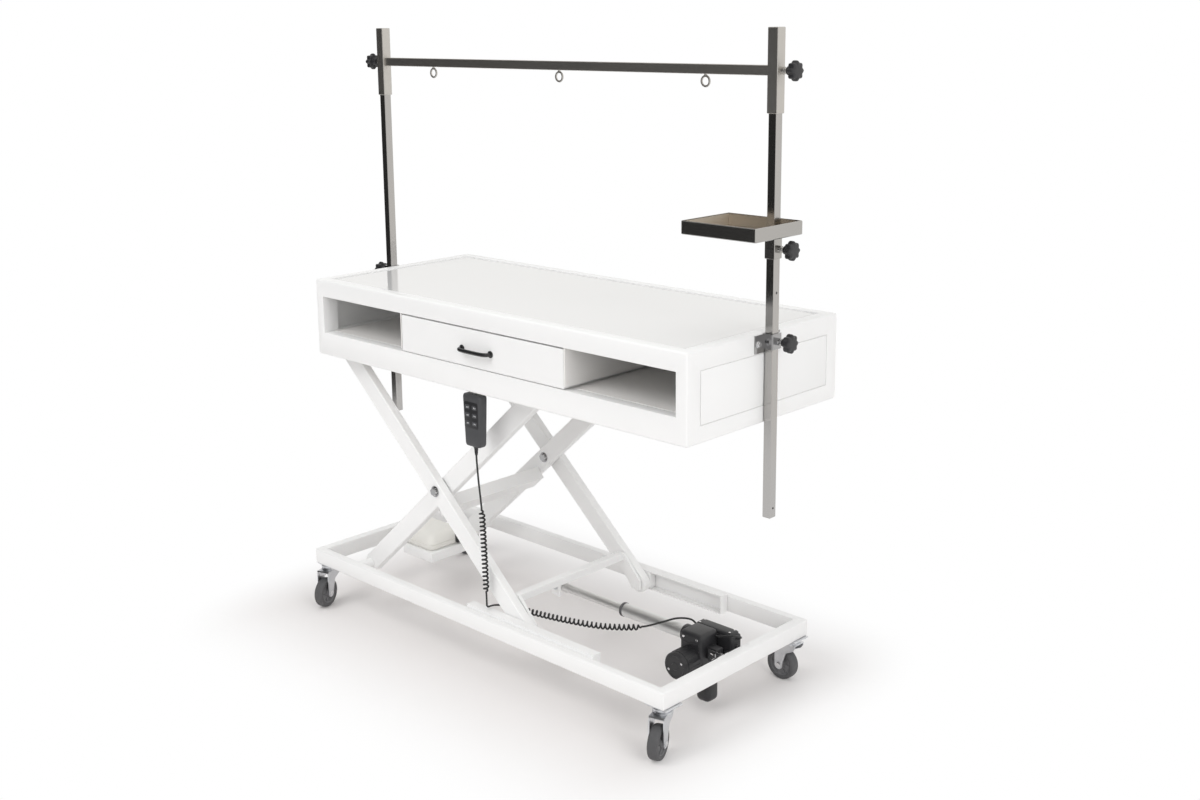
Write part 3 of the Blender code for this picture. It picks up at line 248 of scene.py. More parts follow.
def basis(axis):
    axis = Vector(axis).normalized()
    a = axis.orthogonal().normalized()
    return axis, a, axis.cross(a)


def turned(bm, at, axis, profile, n=40, closed=False, start=0.0):
    """Turns (radius, along) points about an axis. An open profile is capped at both ends."""
    axis, a, b = basis(axis)
    at = Vector(at)
    turns = [start + 2 * math.pi * i / n for i in range(n)]
    spokes = [a * math.cos(t) + b * math.sin(t) for t in turns]
    rings = [[bm.verts.new(at + axis * s + spoke * r) for spoke in spokes] for r, s in profile]
    pairs = list(zip(rings, rings[1:]))
    if closed:
        pairs.append((rings[-1], rings[0]))
    for u, v in pairs:
        for i in range(n):
            j = (i + 1) % n
            bm.faces.new((u[i], u[j], v[j], v[i]))
    if not closed:
        bm.faces.new(rings[0][::-1])
        bm.faces.new(rings[-1])
    return bm


def hexagon(bm, at, axis, r, h):
    return turned(bm, at, axis, [(r, 0.0), (r, h * 0.8), (r * 0.9, h)], n=6)


def washer(bm, at, axis, r, hole, t):
    return turned(bm, at, axis, [(hole, 0.0), (r, 0.0), (r, t * 0.7), (r - t * 0.3, t), (hole, t)], n=36,
                  closed=True)


def plate(bm, pts, shift):
    """A flat outline of points, given thickness by a shift."""
    low = [bm.verts.new(Vector(p)) for p in pts]
    high = [bm.verts.new(Vector(p) + Vector(shift)) for p in pts]
    bm.faces.new(low[::-1])
    bm.faces.new(high)
    for i in range(len(pts)):
        j = (i + 1) % len(pts)
        bm.faces.new((low[i], low[j], high[j], high[i]))
    return bm


def tube(bm, pts, r, sides=12):
    pts = [Vector(p) for p in pts]
    radii = r if isinstance(r, list) else [r] * len(pts)
    tangents = [(pts[min(i + 1, len(pts) - 1)] - pts[max(i - 1, 0)]).normalized() for i in range(len(pts))]
    aside = tangents[0].orthogonal().normalized()
    rings = []
    for p, t, q in zip(pts, tangents, radii):
        aside = (aside - t * aside.dot(t)).normalized()
        up = t.cross(aside)
        rings.append([bm.verts.new(p + (aside * math.cos(2 * math.pi * k / sides)
                                        + up * math.sin(2 * math.pi * k / sides)) * q) for k in range(sides)])
    for u, v in zip(rings, rings[1:]):
        for k in range(sides):
            j = (k + 1) % sides
            bm.faces.new((u[k], u[j], v[j], v[k]))
    bm.faces.new(rings[0][::-1])
    bm.faces.new(rings[-1])
    return bm


def loft(bm, rings):
    made = [[bm.verts.new(Vector(p)) for p in ring] for ring in rings]
    n = len(made[0])
    for u, v in zip(made, made[1:]):
        for i in range(n):
            j = (i + 1) % n
            bm.faces.new((u[i], u[j], v[j], v[i]))
    bm.faces.new(made[0][::-1])
    bm.faces.new(made[-1])
    return bm


def round_rect(cx, cy, hx, hy, r, n=6):
    pts = []
    for k, (sx, sy) in enumerate(((1, 1), (-1, 1), (-1, -1), (1, -1))):
        for i in range(n + 1):
            t = math.pi / 2 * (k + i / n)
            pts.append((cx + sx * (hx - r) + r * math.cos(t), cy + sy * (hy - r) + r * math.sin(t)))
    return pts


def carved(name, base, cuts, look, body, hides=(), soften=0.0, seg=2):
    """A block with blocks cut from it, its edges then softened."""
    made = []
    for k, bm in enumerate([base, *cuts]):
        mesh = bpy.data.meshes.new(f"{name}_{k}")
        bmesh.ops.recalc_face_normals(bm, faces=bm.faces[:])
        bm.to_mesh(mesh)
        bm.free()
        ob = bpy.data.objects.new(f"{name}_{k}", mesh)
        scene.collection.objects.link(ob)
        made.append(ob)
    for tool in made[1:]:
        mod = made[0].modifiers.new("cut", "BOOLEAN")
        mod.operation = "DIFFERENCE"
        mod.solver = "EXACT"
        mod.object = tool
    if soften:
        mod = made[0].modifiers.new("soften", "BEVEL")
        mod.width = soften
        mod.segments = seg
        mod.limit_method = "ANGLE"
        mod.angle_limit = math.radians(50)
    bpy.context.view_layer.update()
    deps = bpy.context.evaluated_depsgraph_get()
    bm = bmesh.new()
    bm.from_mesh(made[0].evaluated_get(deps).to_mesh())
    for ob in made:
        bpy.data.objects.remove(ob)
    return piece(name, bm, look, body, hides)


def new():
    return bmesh.new()


# The table's welded frame, as one skin over its five boards.
def table_frame():
    skin, pocket_x = 0.008, 0.560
    cuts = [block(new(), (-IN_X, IN_X), (-IN_Y, IN_Y), (0.60, 0.95)),
            block(new(), (-IN_X, IN_X), (-0.30, -0.20), (OPEN_Z0, OPEN_Z1))]
    for s in (-1, 1):
        pocket = sorted((s * pocket_x, s * (HALF_L - skin)))
        cuts.append(block(new(), pocket, (-0.208, 0.208), (OPEN_Z0 + 0.002, OPEN_Z1)))
        y0, y1, z0, z1, w = -0.210, 0.213, BOX_Z0 + 0.036, OPEN_Z1, 0.0018
        x = sorted((s * (HALF_L - 0.0030), s * (HALF_L + 0.01)))
        for yy, zz in (((y0, y1), (z0, z0 + w)), ((y0, y1), (z1 - w, z1)),
                       ((y0, y0 + w), (z0, z1)), ((y1 - w, y1), (z0, z1))):
            cuts.append(block(new(), x, yy, zz))
    for y in ((-0.209, -0.179), (0.179, 0.209)):
        cuts.append(block(new(), (-HALF_L + skin, -pocket_x), y, (BOX_Z0 - 0.01, 0.733)))
    outer = block(new(), (-HALF_L, HALF_L), (-HALF_W, HALF_W), (BOX_Z0, TABLE_TOP), 0.0045, 4)
    carved("table_frame", outer, cuts, PAINT, "table",
           ("table_end_left", "table_end_right", "table_front_top", "table_back", "table_front_low"), 0.0012)
    hook = new()
    arc = [(HS_X, HS_Y + 0.006, BOX_Z0 + 0.002), (HS_X, HS_Y + 0.006, HS_Z1 + 0.004),
           (HS_X, HS_Y + 0.003, HS_Z1 + 0.0022), (HS_X, HS_Y - 0.003, HS_Z1 + 0.0021),
           (HS_X, HS_Y - 0.007, HS_Z1 + 0.0036)]
    tube(hook, arc, 0.0017, 12)
    piece("handset_hook", hook, ZINC, "table")


table_frame()


# The base's welded frame with its pivot bosses and caster plates.
def base_frame():
    outer = block(new(), (BASE_X0, BASE_X1), (-HALF_W, HALF_W), (RAIL_Z0, RAIL_Z1), 0.0025, 3)
    inner = block(new(), (BASE_X0 + BEAM_W, BASE_X1 - BEAM_W), (-HALF_W + RAIL_W, HALF_W - RAIL_W),
                  (0.05, 0.25))
    carved("base_frame", outer, [inner], PAINT, "base",
           ("base_rail_front", "base_rail_rear", "base_beam_left", "base_beam_right"), 0.0012)
    bosses, pins = new(), new()
    for s in (-1, 1):
        at = (PIVOT_X, 0.0, PIVOT_Z)
        axis = (0, s, 0)
        turned(bosses, at, axis, [(0.013, ARM_B_OUT + GAP), (0.013, HALF_W - RAIL_W + 0.001)], 36)
        turned(pins, at, axis, [(0.008, ARM_B_IN - 0.008), (0.008, ARM_B_OUT + 0.002)], 32)
        hexagon(pins, (PIVOT_X, s * (ARM_B_IN - GAP), PIVOT_Z), (0, -s, 0), 0.0115, 0.0072)
    piece("pivot_bosses", bosses, PAINT, "base")
    piece("pivot_pins", pins, ZINC, "base")
    plates, heads = new(), new()
    plate_z, thick, inset = RAIL_Z0 - GAP, 0.003, 0.007
    for k, (cx, cy, _) in CASTERS.items():
        out = 1 if cy > 0 else -1
        xs = (cx - 0.030, cx + 0.030) if k[1] == "r" else (cx - 0.024, cx + 0.036)
        ys = sorted((cy - out * 0.030, cy + out * 0.022))
        block(plates, xs, ys, (plate_z - thick, plate_z), 0.0008, 2)
        for by in (ys[0] + inset, ys[1] - inset):
            for bx in (xs[0] + inset, xs[1] - inset):
                hexagon(heads, (bx, by, plate_z - thick), (0, 0, -1), 0.0048, 0.003)
    piece("caster_plates", plates, ZINC, "base")
    piece("caster_bolts", heads, ZINC, "base")


base_frame()


# Casters.
def caster(k):
    cx, cy, deg = CASTERS[k]
    t = math.radians(deg)
    along = Vector((math.cos(t), math.sin(t), 0.0))
    across = Vector((-math.sin(t), math.cos(t), 0.0))
    up = Vector((0, 0, 1))
    foot = Vector((cx, cy, 0.0))
    hub_at = foot + along * TRAIL + up * WHEEL_R

    def flat(outline, off, thick):
        return [foot + along * a + up * z + across * off for a, z in outline], across * thick

    shell = new()
    turned(shell, foot, up, [(0.0200, 0.0930), (0.0212, 0.0950), (0.0212, 0.0985), (0.0190, 0.0996),
                             (0.0190, 0.1012), (0.0215, 0.1022), (0.0215, 0.1062), (0.0200, 0.1080)], 48)
    crown = [(-0.0215, 0.0945), (-0.0215, 0.0965), (0.0320, 0.0965), (0.0340, 0.0935), (0.0335, 0.0918),
             (0.0305, 0.0935)]
    plate(shell, *flat(crown, -0.0172, 0.0344))
    rim = []
    for i in range(13):
        q = math.radians(8 - 196 * i / 12)
        rim.append((TRAIL + 0.0105 * math.cos(q), WHEEL_R + 0.0105 * math.sin(q)))
    leg = [(-0.0210, 0.0960), (0.0325, 0.0960), (0.0340, 0.0900), (TRAIL + 0.0112, WHEEL_R + 0.020), *rim,
           (TRAIL - 0.0130, WHEEL_R + 0.012), (0.0035, WHEEL_R + 0.034), (-0.0150, 0.0810), (-0.0205, 0.0890)]
    for s in (-1, 1):
        plate(shell, *flat(leg, s * 0.0150, s * 0.0024))
    bmesh.ops.recalc_face_normals(shell, faces=shell.faces[:])
    piece("caster_fork_" + k, shell, ZINC, "fork_" + k, ("fork_" + k,), 30.0)
    bolt = new()
    turned(bolt, hub_at, across, [(0.0044, -0.0176), (0.0044, 0.0176)], 24)
    for s in (-1, 1):
        hexagon(bolt, hub_at + across * (s * 0.0175), across * s, 0.0068, 0.0024)
    turned(bolt, foot, up, [(0.0055, 0.0900), (0.0060, 0.0915), (0.0060, 0.0940)], 6)
    piece("caster_bolt_" + k, bolt, CHROME, "fork_" + k)
    tyre = new()
    half = [(0.0268, 0.0108), (0.0285, 0.0120), (0.0325, 0.0121), (0.0350, 0.0113), (0.0366, 0.0092),
            (0.0373, 0.0060), (0.0375, 0.0022)]
    prof = [(r, -s) for r, s in half] + [(r, s) for r, s in half[::-1]]
    turned(tyre, hub_at, across, prof, 72, closed=True)
    piece("tyre_" + k, tyre, RUBBER, "wheel_" + k, ("wheel_" + k,))
    hub = new()
    half = [(0.0050, 0.0145), (0.0098, 0.0145), (0.0112, 0.0132), (0.0120, 0.0085), (0.0180, 0.0068),
            (0.0236, 0.0075), (0.0250, 0.0102), (0.0266, 0.0110), (0.0270, 0.0104)]
    prof = [(r, -s) for r, s in half] + [(r, s) for r, s in half[::-1]]
    turned(hub, hub_at, across, prof, 60, closed=True)
    for s in (-1, 1):
        for i in range(6):
            q = 2 * math.pi * i / 6
            d = along * math.cos(q) + up * math.sin(q)
            side = d.cross(across)
            corner = [hub_at + d * a + side * b + across * (s * 0.0062) for a, b in
                      ((0.0112, -0.0016), (0.0245, -0.0011), (0.0245, 0.0011), (0.0112, 0.0016))]
            plate(hub, corner, across * (s * 0.0030))
    piece("hub_" + k, hub, HUB, "wheel_" + k)


for key in CASTERS:
    caster(key)


# Bolts through the arms, and the nuts at the hangers.
def arm_hardware():
    bolts = new()
    for s in (-1, 1):
        at = (MID_X, s * (ARM_A_OUT + GAP), MID_Z)
        washer(bolts, at, (0, s, 0), 0.0135, 0.004, 0.0016)
        hexagon(bolts, (MID_X, s * (ARM_A_OUT + 0.0018), MID_Z), (0, s, 0), 0.0108, 0.0056)
        washer(bolts, (MID_X, s * (ARM_B_IN - GAP), MID_Z), (0, -s, 0), 0.0130, 0.004, 0.0015)
        hexagon(bolts, (MID_X, s * (ARM_B_IN - 0.0018), MID_Z), (0, -s, 0), 0.0106, 0.0050)
    piece("arm_bolts", bolts, CLAMP, "arms_b")
    caps = new()
    for s in (-1, 1):
        hexagon(caps, (A_TOP_X, s * (ARM_A_IN - GAP), TOP_PIVOT_Z), (0, -s, 0), 0.0112, 0.0042)
    piece("hanger_nuts", caps, ZINC, "table")


arm_hardware()


# Star knobs.
def knob(name, s, z):
    shape = new()
    rings = []
    around, lobes = 72, 8
    for x, grow in ((0.6500, 0.78), (0.6508, 0.90), (0.6526, 0.98), (0.6550, 1.0), (0.6605, 1.0),
                    (0.6635, 0.97), (0.6652, 0.88), (0.6659, 0.70), (0.6660, 0.40)):
        ring = []
        for i in range(around):
            t = 2 * math.pi * i / around
            r = 0.020 * grow * (0.905 + 0.095 * math.cos(lobes * t))
            ring.append((s * x, r * math.cos(t), z + r * math.sin(t)))
        rings.append(ring)
    loft(shape, rings)
    neck = [(0.0072, 0.6400), (0.0085, 0.6412), (0.0090, 0.6460), (0.0120, 0.6500), (0.0120, 0.6512)]
    turned(shape, (0, 0, z), (s, 0, 0), neck, 36)
    piece(name + "_star", shape, BLACK, name, (name,), 60.0)
    screw = new()
    turned(screw, (0, 0, z), (s, 0, 0), [(0.0024, 0.6228), (0.0030, 0.6236), (0.0030, 0.6405)], 24)
    piece(name + "_screw", screw, CHROME, name)


CLAMP_KNOB_Z, BAR_KNOB_Z, TRAY_KNOB_Z = 0.856, 1.394, 1.044
for place, z in (("clamp", CLAMP_KNOB_Z), ("bar", BAR_KNOB_Z)):
    knob(f"knob_{place}_left", -1, z)
    knob(f"knob_{place}_right", 1, z)
knob("knob_tray", 1, TRAY_KNOB_Z)


# Clamp bolts.
def clamp_bolts():
    heads = new()
    bolt_y, bolt_z = 0.030, 0.851
    for s in (-1, 1):
        for y in (-bolt_y, bolt_y):
            washer(heads, (s * (HALF_L + 0.0022), y, bolt_z), (s, 0, 0), 0.0075, 0.002, 0.0010)
            hexagon(heads, (s * (HALF_L + 0.0031), y, bolt_z), (s, 0, 0), 0.0058, 0.0040)
    piece("clamp_bolts", heads, CHROME, "table")


clamp_bolts()


# The satin inside of the tray, round the post's hole.
def tray_inside():
    x0, x1, y0, y1, z0, z1 = 0.4702, 0.6528, -0.1118, 0.0368, 1.0741, 1.0982
    hole, thin, clear = 0.0116, 0.0004, 0.0005
    lining = new()
    for x, y in (((x0, POST_X - hole), (y0, y1)), ((POST_X + hole, x1), (y0, y1)),
                 ((POST_X - hole, POST_X + hole), (y0, -hole)), ((POST_X - hole, POST_X + hole), (hole, y1))):
        block(lining, x, y, (z0, z0 + thin))
    for x in ((x0, x0 + thin), (x1 - thin, x1)):
        block(lining, x, (y0, y1), (z0 + clear, z1))
    for y in ((y0, y0 + thin), (y1 - thin, y1)):
        block(lining, (x0 + clear, x1 - clear), y, (z0 + clear, z1))
    piece("tray_lining", lining, TRAY_IN, "tray")


tray_inside()


def smooth(points, step=0.004):
    """Even points along a smooth curve through the given points."""
    p = [Vector(q) for q in points]
    ext = [p[0] * 2 - p[1]] + p + [p[-1] * 2 - p[-2]]
    dense = []
    for i in range(1, len(ext) - 2):
        for k in range(40):
            t = k / 40
            a, b, c, d = ext[i - 1], ext[i], ext[i + 1], ext[i + 2]
            dense.append(0.5 * (2 * b + (c - a) * t + (2 * a - 5 * b + 4 * c - d) * t * t
                                + (3 * b - a - 3 * c + d) * t * t * t))
    dense.append(p[-1])
    total = sum((b - a).length for a, b in zip(dense, dense[1:]))
    n = max(2, round(total / step))
    out = [dense[0]]
    walked = 0.0
    want = total / n
    for a, b in zip(dense, dense[1:]):
        seg = (b - a).length
        while seg > 0 and walked + seg >= want * len(out) - 1e-9 and len(out) < n:
            f = (want * len(out) - walked) / seg
            out.append(a.lerp(b, min(max(f, 0.0), 1.0)))
        walked += seg
    out.append(dense[-1])
    return out


# Drawer handle.
def handle():
    hx, hz, y = -0.006, 0.781, -HALF_W
    half, out = 0.047, 0.017
    bow = [(-1.0, 0.0), (-1.0, 0.2), (-1.0, 0.4), (-0.88, 0.78), (-0.60, 0.96), (0.0, 1.0),
           (0.60, 0.96), (0.88, 0.78), (1.0, 0.4), (1.0, 0.2), (1.0, 0.0)]
    grip = new()
    tube(grip, smooth([(hx + half * u, y - GAP - out * w, hz) for u, w in bow], 0.0025), 0.0045, 20)
    for e in (-1, 1):
        turned(grip, (hx + e * half, y - 0.0002, hz), (0, -1, 0),
               [(0.0080, 0.0), (0.0080, 0.0012), (0.0072, 0.0024), (0.0050, 0.0036)], 36)
    piece("handle_bow", grip, GLOSS, "drawer", ("drawer_handle",), 50.0)


handle()


# Handset with its keys.
def handset():
    body = new()
    rings = []
    steps = [(0.0, 0.62), (0.0012, 0.80), (0.0035, 0.93), (0.0070, 1.0)]
    levels = (steps + [(HS_LEN * f, 1.0) for f in (0.2, 0.4, 0.6, 0.8)]
              + [(HS_LEN - d, g) for d, g in steps[::-1]])
    for d, grow in levels:
        hx = 0.030 - 0.006 * d / HS_LEN
        inset = (1 - grow) * 0.008
        ring = round_rect(HS_X, HS_Y, hx - inset, 0.0125 - inset, max(0.0015, 0.0062 - inset * 0.6), 6)
        rings.append([(x, y, HS_Z1 - d) for x, y in ring])
    loft(body, rings)
    piece("handset_shell", body, DARK, "table", ("handset",), 50.0)
    bezel = new()
    loft(bezel, [[(x, y, z) for x, z in round_rect(HS_X, HS_Z1 - 0.0465, 0.0225 - g, 0.0305 - g, 0.004, 5)]
                 for y, g in ((HS_Y - 0.0120, 0.0), (HS_Y - 0.0127, 0.0), (HS_Y - 0.0129, 0.0004))])
    piece("handset_panel", bezel, BLACK, "table")
    n = 0
    for row in range(3):
        for col in (-1, 1):
            n += 1
            kx, kz = HS_X + col * 0.0115, HS_Z1 - 0.028 - row * 0.0185
            cap = new()
            loft(cap, [[(x, HS_Y - d, z) for x, z in round_rect(kx, kz, 0.0075 - g, 0.0050 - g, 0.0016, 4)]
                       for d, g in ((0.0113, 0.0), (0.0131, 0.0), (0.0138, 0.0003), (0.0141, 0.0009))])
            piece(f"keycap_{n}", cap, KEYCAP, f"key_{n}", (f"key_{n}",))
            mark = new()
            tip, bar, ink = 0.0016 * -col, 0.0011, (0, -0.00025, 0)
            arrow = ((-0.0019, -tip), (0.0019, -tip), (0.0, tip))
            dash = ((0.0034, -bar), (0.0050, -bar), (0.0050, bar), (0.0034, bar))
            for outline in (arrow, dash):
                plate(mark, [(kx + x, HS_Y - 0.01405, kz + z) for x, z in outline], ink)
            piece(f"key_mark_{n}", mark, MARK, f"key_{n}")


handset()


# The linear actuator.
def actuator():
    x, eye = (1, 0, 0), (0, ACT_Y, ACT_Z)
    rod_r, bore_r, tube_r, tube_x0 = 0.0100, 0.0106, 0.0155, 0.2062
    rod = new()
    turned(rod, eye, x, [(rod_r, 0.0085), (rod_r, 0.208), (0.0094, 0.209)], 40)
    turned(rod, eye, (0, 1, 0), [(0.0054, -0.0105), (0.0098, -0.0105), (0.0105, -0.0095), (0.0105, 0.0095),
                                 (0.0098, 0.0105), (0.0054, 0.0105)], 40, closed=True)
    piece("lift_rod", rod, SATIN, "carriage", ("actuator_rod",))
    pin = new()
    turned(pin, eye, (0, 1, 0), [(0.0046, -0.0205), (0.0052, -0.0197), (0.0052, 0.0197), (0.0046, 0.0205)],
           24)
    piece("rod_pin", pin, ZINC, "carriage")
    outer = new()
    turned(outer, eye, x, [(bore_r, tube_x0), (tube_r, tube_x0), (tube_r, TUBE_X1), (bore_r, TUBE_X1)], 56,
           closed=True)
    piece("lift_tube", outer, TUBE, "base", ("actuator_tube",))
    # The gland ring is drawn in dark rubber to give the dark line round the tube's end, which is partly
    # painted edge shadow.
    ring = new()
    turned(ring, eye, x, [(0.0107, 0.2050), (0.0148, 0.2050), (0.0162, 0.2058), (0.0165, 0.2068),
                          (0.0165, 0.2120), (0.0158, 0.2130), (0.0107, 0.2130)], 56, closed=True)
    piece("tube_gland", ring, RUBBER, "base")
    case = new()
    block(case, (CASE_X0, CASE_X1), (ACT_Y - 0.030, ACT_Y + 0.030), (0.082, 0.178), 0.009, 4)
    block(case, (0.436, 0.474), (ACT_Y - 0.019, ACT_Y + 0.021), (0.018, 0.092), 0.012, 5)
    block(case, (0.455, 0.492), (ACT_Y - 0.011, ACT_Y + 0.011), (0.120, 0.150), 0.003, 3)
    turned(case, eye, x, [(0.0185, 0.3920), (0.0200, 0.3940), (0.0200, 0.4100), (0.0185, 0.4120)], 48)
    for i in range(5):
        z = 0.096 + i * 0.014
        block(case, (0.4100, 0.4560), (ACT_Y - 0.0312, ACT_Y - 0.0290), (z, z + 0.004), 0.0008, 2)
    piece("gear_case", case, BLACK, "base", ("actuator_housing",), 45.0)
    motor = new()
    at = Vector((0.430, 0.0, 0.116))
    turned(motor, at, (0, -1, 0),
           [(0.0300, 0.028), (0.0310, 0.030), (0.0310, 0.0730), (0.0300, 0.0736), (0.0300, 0.0750),
            (0.0310, 0.0756), (0.0310, 0.0815), (0.0290, 0.0844), (0.0240, 0.0850), (0.0230, 0.0840),
            (0.0095, 0.0840), (0.0085, 0.0850), (0.0010, 0.0850)], 64)
    for i in range(20):
        q = 2 * math.pi * i / 20
        d = Vector((math.cos(q), 0, math.sin(q)))
        e = Vector((-math.sin(q), 0, math.cos(q)))
        c = at + Vector((0, -0.036, 0)) + d * 0.0307
        plate(motor, [c + e * 0.0011, c - e * 0.0011, c - e * 0.0008 + d * 0.0011,
                      c + e * 0.0008 + d * 0.0011], (0, -0.036, 0))
    piece("motor_can", motor, BLACK, "base", (), 40.0)
    screws = new()
    for dx, dz in ((-0.018, -0.011), (0.018, 0.011)):
        turned(screws, at + Vector((dx, -0.0835, dz)), (0, -1, 0),
               [(0.0030, 0.0), (0.0030, 0.0012), (0.0022, 0.0018)], 20)
    for sx in (0.413, 0.450):
        for sz in (0.094, 0.166):
            turned(screws, (sx, ACT_Y - 0.0298, sz), (0, -1, 0),
                   [(0.0034, 0.0), (0.0034, 0.0014), (0.0026, 0.0022)], 20)
    piece("case_screws", screws, CHROME, "base")
    box = new()
    block(box, (BOX_X0, BOX_X1), (BOX_Y0, 0.0613), (0.116, 0.166), 0.005, 4)
    block(box, (0.393, 0.495), (0.0280, 0.0586), (0.160, 0.173), 0.006, 4)
    piece("controller_box", box, BLACK, "base", ("actuator_controller",), 45.0)
    ports = new()
    socket = [(0.0052, 0.0), (0.0052, 0.0022), (0.0040, 0.0034)]
    for z in (0.160, 0.140, 0.125):
        turned(ports, (0.4965, 0.0453, z), x, socket, 24)
    turned(ports, (0.3915, 0.0433, 0.159), (-1, 0, 0), socket, 24)
    piece("controller_ports", ports, GLOSS, "base")
    bits = new()
    for px in (0.402, 0.486):
        for py in (0.0345, 0.0521):
            turned(bits, (px, py, 0.1724), (0, 0, 1), [(0.0026, 0.0), (0.0026, 0.0009), (0.0018, 0.0014)], 20)
    piece("controller_screws", bits, CHROME, "base")
    bolts = new()
    for y in (ACT_Y - 0.028, ACT_Y + 0.028):
        for z in (0.122, 0.140):
            hexagon(bolts, (0.5127, y, z), (-1, 0, 0), 0.0055, 0.0042)
    for s in (-1, 1):
        hexagon(bolts, (0.482, ACT_Y + s * 0.0158, 0.135), (0, s, 0), 0.0078, 0.0048)
    piece("mount_bolts", bolts, CHROME, "base")


actuator()


# The power box on its plate.
def power_box():
    shelf = new()
    block(shelf, (-0.555, -0.438), (-0.044, 0.080), (0.1080, 0.1340), 0.0018, 3)
    block(shelf, (BASE_X0 + BEAM_W + GAP, -0.550), (0.022, 0.075), (0.1140, 0.1215), 0.0010, 2)
    piece("power_shelf", shelf, PAINT, "base", ("power_box",))
    tub = new()
    cx, cy = -0.515, 0.0175
    rings = []
    for z, g in ((0.1322, 0.016), (0.1326, 0.011), (0.1345, 0.006), (0.138, 0.002), (0.1425, 0.0),
                 (0.1505, 0.0), (0.1508, 0.0012), (0.1516, 0.0012), (0.1519, 0.0), (0.162, 0.0022),
                 (0.170, 0.0062), (0.1748, 0.012), (0.1772, 0.020), (0.178, 0.029)):
        rings.append([(x, y, z) for x, y in round_rect(cx, cy, 0.070 - g, 0.0575 - g,
                                                       max(0.006, 0.018 - g * 0.3), 8)])
    loft(tub, rings)
    piece("power_tub", tub, CREAM, "base", (), 50.0)
    inlet = new()
    block(inlet, (-0.4470, -0.4360), (0.044, 0.074), (0.1395, 0.1655), 0.0022, 3)
    block(inlet, (-0.4370, -0.3920), (0.049, 0.069), (0.1435, 0.1615), 0.0040, 4)
    piece("power_inlet", inlet, BLACK, "base")


power_box()


# Cords.
CORD_R, CURL_R = 0.0022, 0.0055


def curled(points, s0, s1, curls, per):
    """The curve with curls wound round it between two shares of its length, fading in and out."""
    line = smooth(points, 0.002)
    run = [0.0]
    for a, b in zip(line, line[1:]):
        run.append(run[-1] + (b - a).length)
    total = run[-1]

    def at(s):
        s = min(max(s, 0.0), total)
        k = 0
        while k < len(run) - 2 and run[k + 1] < s:
            k += 1
        f = (s - run[k]) / (run[k + 1] - run[k])
        return line[k].lerp(line[k + 1], f)

    stops = []
    plain = 0.005
    s = 0.0
    while s < s0 * total - plain / 2:
        stops.append(s)
        s += plain
    n = curls * per
    for i in range(n + 1):
        stops.append(s0 * total + (s1 - s0) * total * i / n)
    s = s1 * total + plain
    while s < total - plain / 2:
        stops.append(s)
        s += plain
    stops.append(total)
    tangent = (at(stops[1]) - at(stops[0])).normalized()
    aside = tangent.orthogonal().normalized()
    out = []
    for s in stops:
        t = (at(s + 0.002) - at(s - 0.002)).normalized()
        aside = (aside - t * aside.dot(t)).normalized()
        up = t.cross(aside)
        share = (s / total - s0) / (s1 - s0)
        grow = 0.0
        if 0 <= share <= 1:
            grow = min(1.0, share * curls, (1 - share) * curls)
        turn = 2 * math.pi * curls * share
        out.append(at(s) + (aside * math.cos(turn) + up * math.sin(turn)) * CURL_R * grow)
    return out


def cord(name, pts, hides):
    bm = new()
    tube(bm, pts, CORD_R, 10)
    ob = piece(name, bm, CORD, "base", hides, 70.0)
    length = sum((b - a).length for a, b in zip(pts, pts[1:]))
    tuple(pts[0])
    [tuple(p) for p in pts]
    return ob


CORD_TOP = HS_Z1 - HS_LEN
SPLIT = Vector((HS_X + 0.003, -0.2200, 0.1720))


def fall(t, dx, share):
    """A point of the hanging cord: t of the height left, and a share of the way in to the split."""
    return (HS_X + dx, HS_Y + (SPLIT.y - HS_Y) * share, SPLIT.z + (CORD_TOP - SPLIT.z) * t)


HANG = [(HS_X, HS_Y, CORD_TOP - GAP), (HS_X, HS_Y, CORD_TOP - 0.03), fall(0.776, 0.001, 0.21),
        fall(0.594, 0.002, 0.58), fall(0.333, 0.003, 0.79), fall(0.073, 0.003, 0.97),
        (SPLIT.x, SPLIT.y, SPLIT.z + 0.012),
        (SPLIT.x, SPLIT.y, SPLIT.z + 0.006), tuple(SPLIT)]
CX, CY, CZ, IN_CORD, LEAD_Y = SPLIT.x, -ARM_A_IN, RAIL_Z1, BOX_Y0 + 0.018, BOX_Y0 + 0.020
LIE = [(CX, SPLIT.y, SPLIT.z - GAP), (CX, SPLIT.y, SPLIT.z - 0.003), (CX, SPLIT.y, SPLIT.z - 0.006),
       (CX - 0.0005, SPLIT.y + 0.005, CZ + 0.012), (CX - 0.002, CY - 0.020, CZ + 0.0105),
       (CX - 0.001, CY - 0.003, CZ + 0.007), (CX + 0.017, CY + 0.015, CZ + 0.004),
       (CX + 0.057, CY + 0.025, CZ + 0.003), (CX + 0.087, CY + 0.031, CZ + 0.003),
       (CX + 0.167, CY + 0.051, CZ + 0.003), (CX + 0.257, CY + 0.083, CZ + 0.004),
       (TUBE_X1 - 0.095, ACT_Y - 0.055, ACT_Z + 0.004), (TUBE_X1 - 0.058, ACT_Y - 0.022, ACT_Z + 0.016),
       (TUBE_X1 - 0.040, ACT_Y, ACT_Z + 0.0225), (TUBE_X1 - 0.031, ACT_Y + 0.023, ACT_Z + 0.019),
       (TUBE_X1 - 0.025, IN_CORD - 0.006, ACT_Z + 0.011), (TUBE_X1 - 0.019, IN_CORD, ACT_Z + 0.003),
       (BOX_X0 - 0.004, IN_CORD, ACT_Z + 0.001), (BOX_X0 - GAP, IN_CORD, ACT_Z + 0.001)]
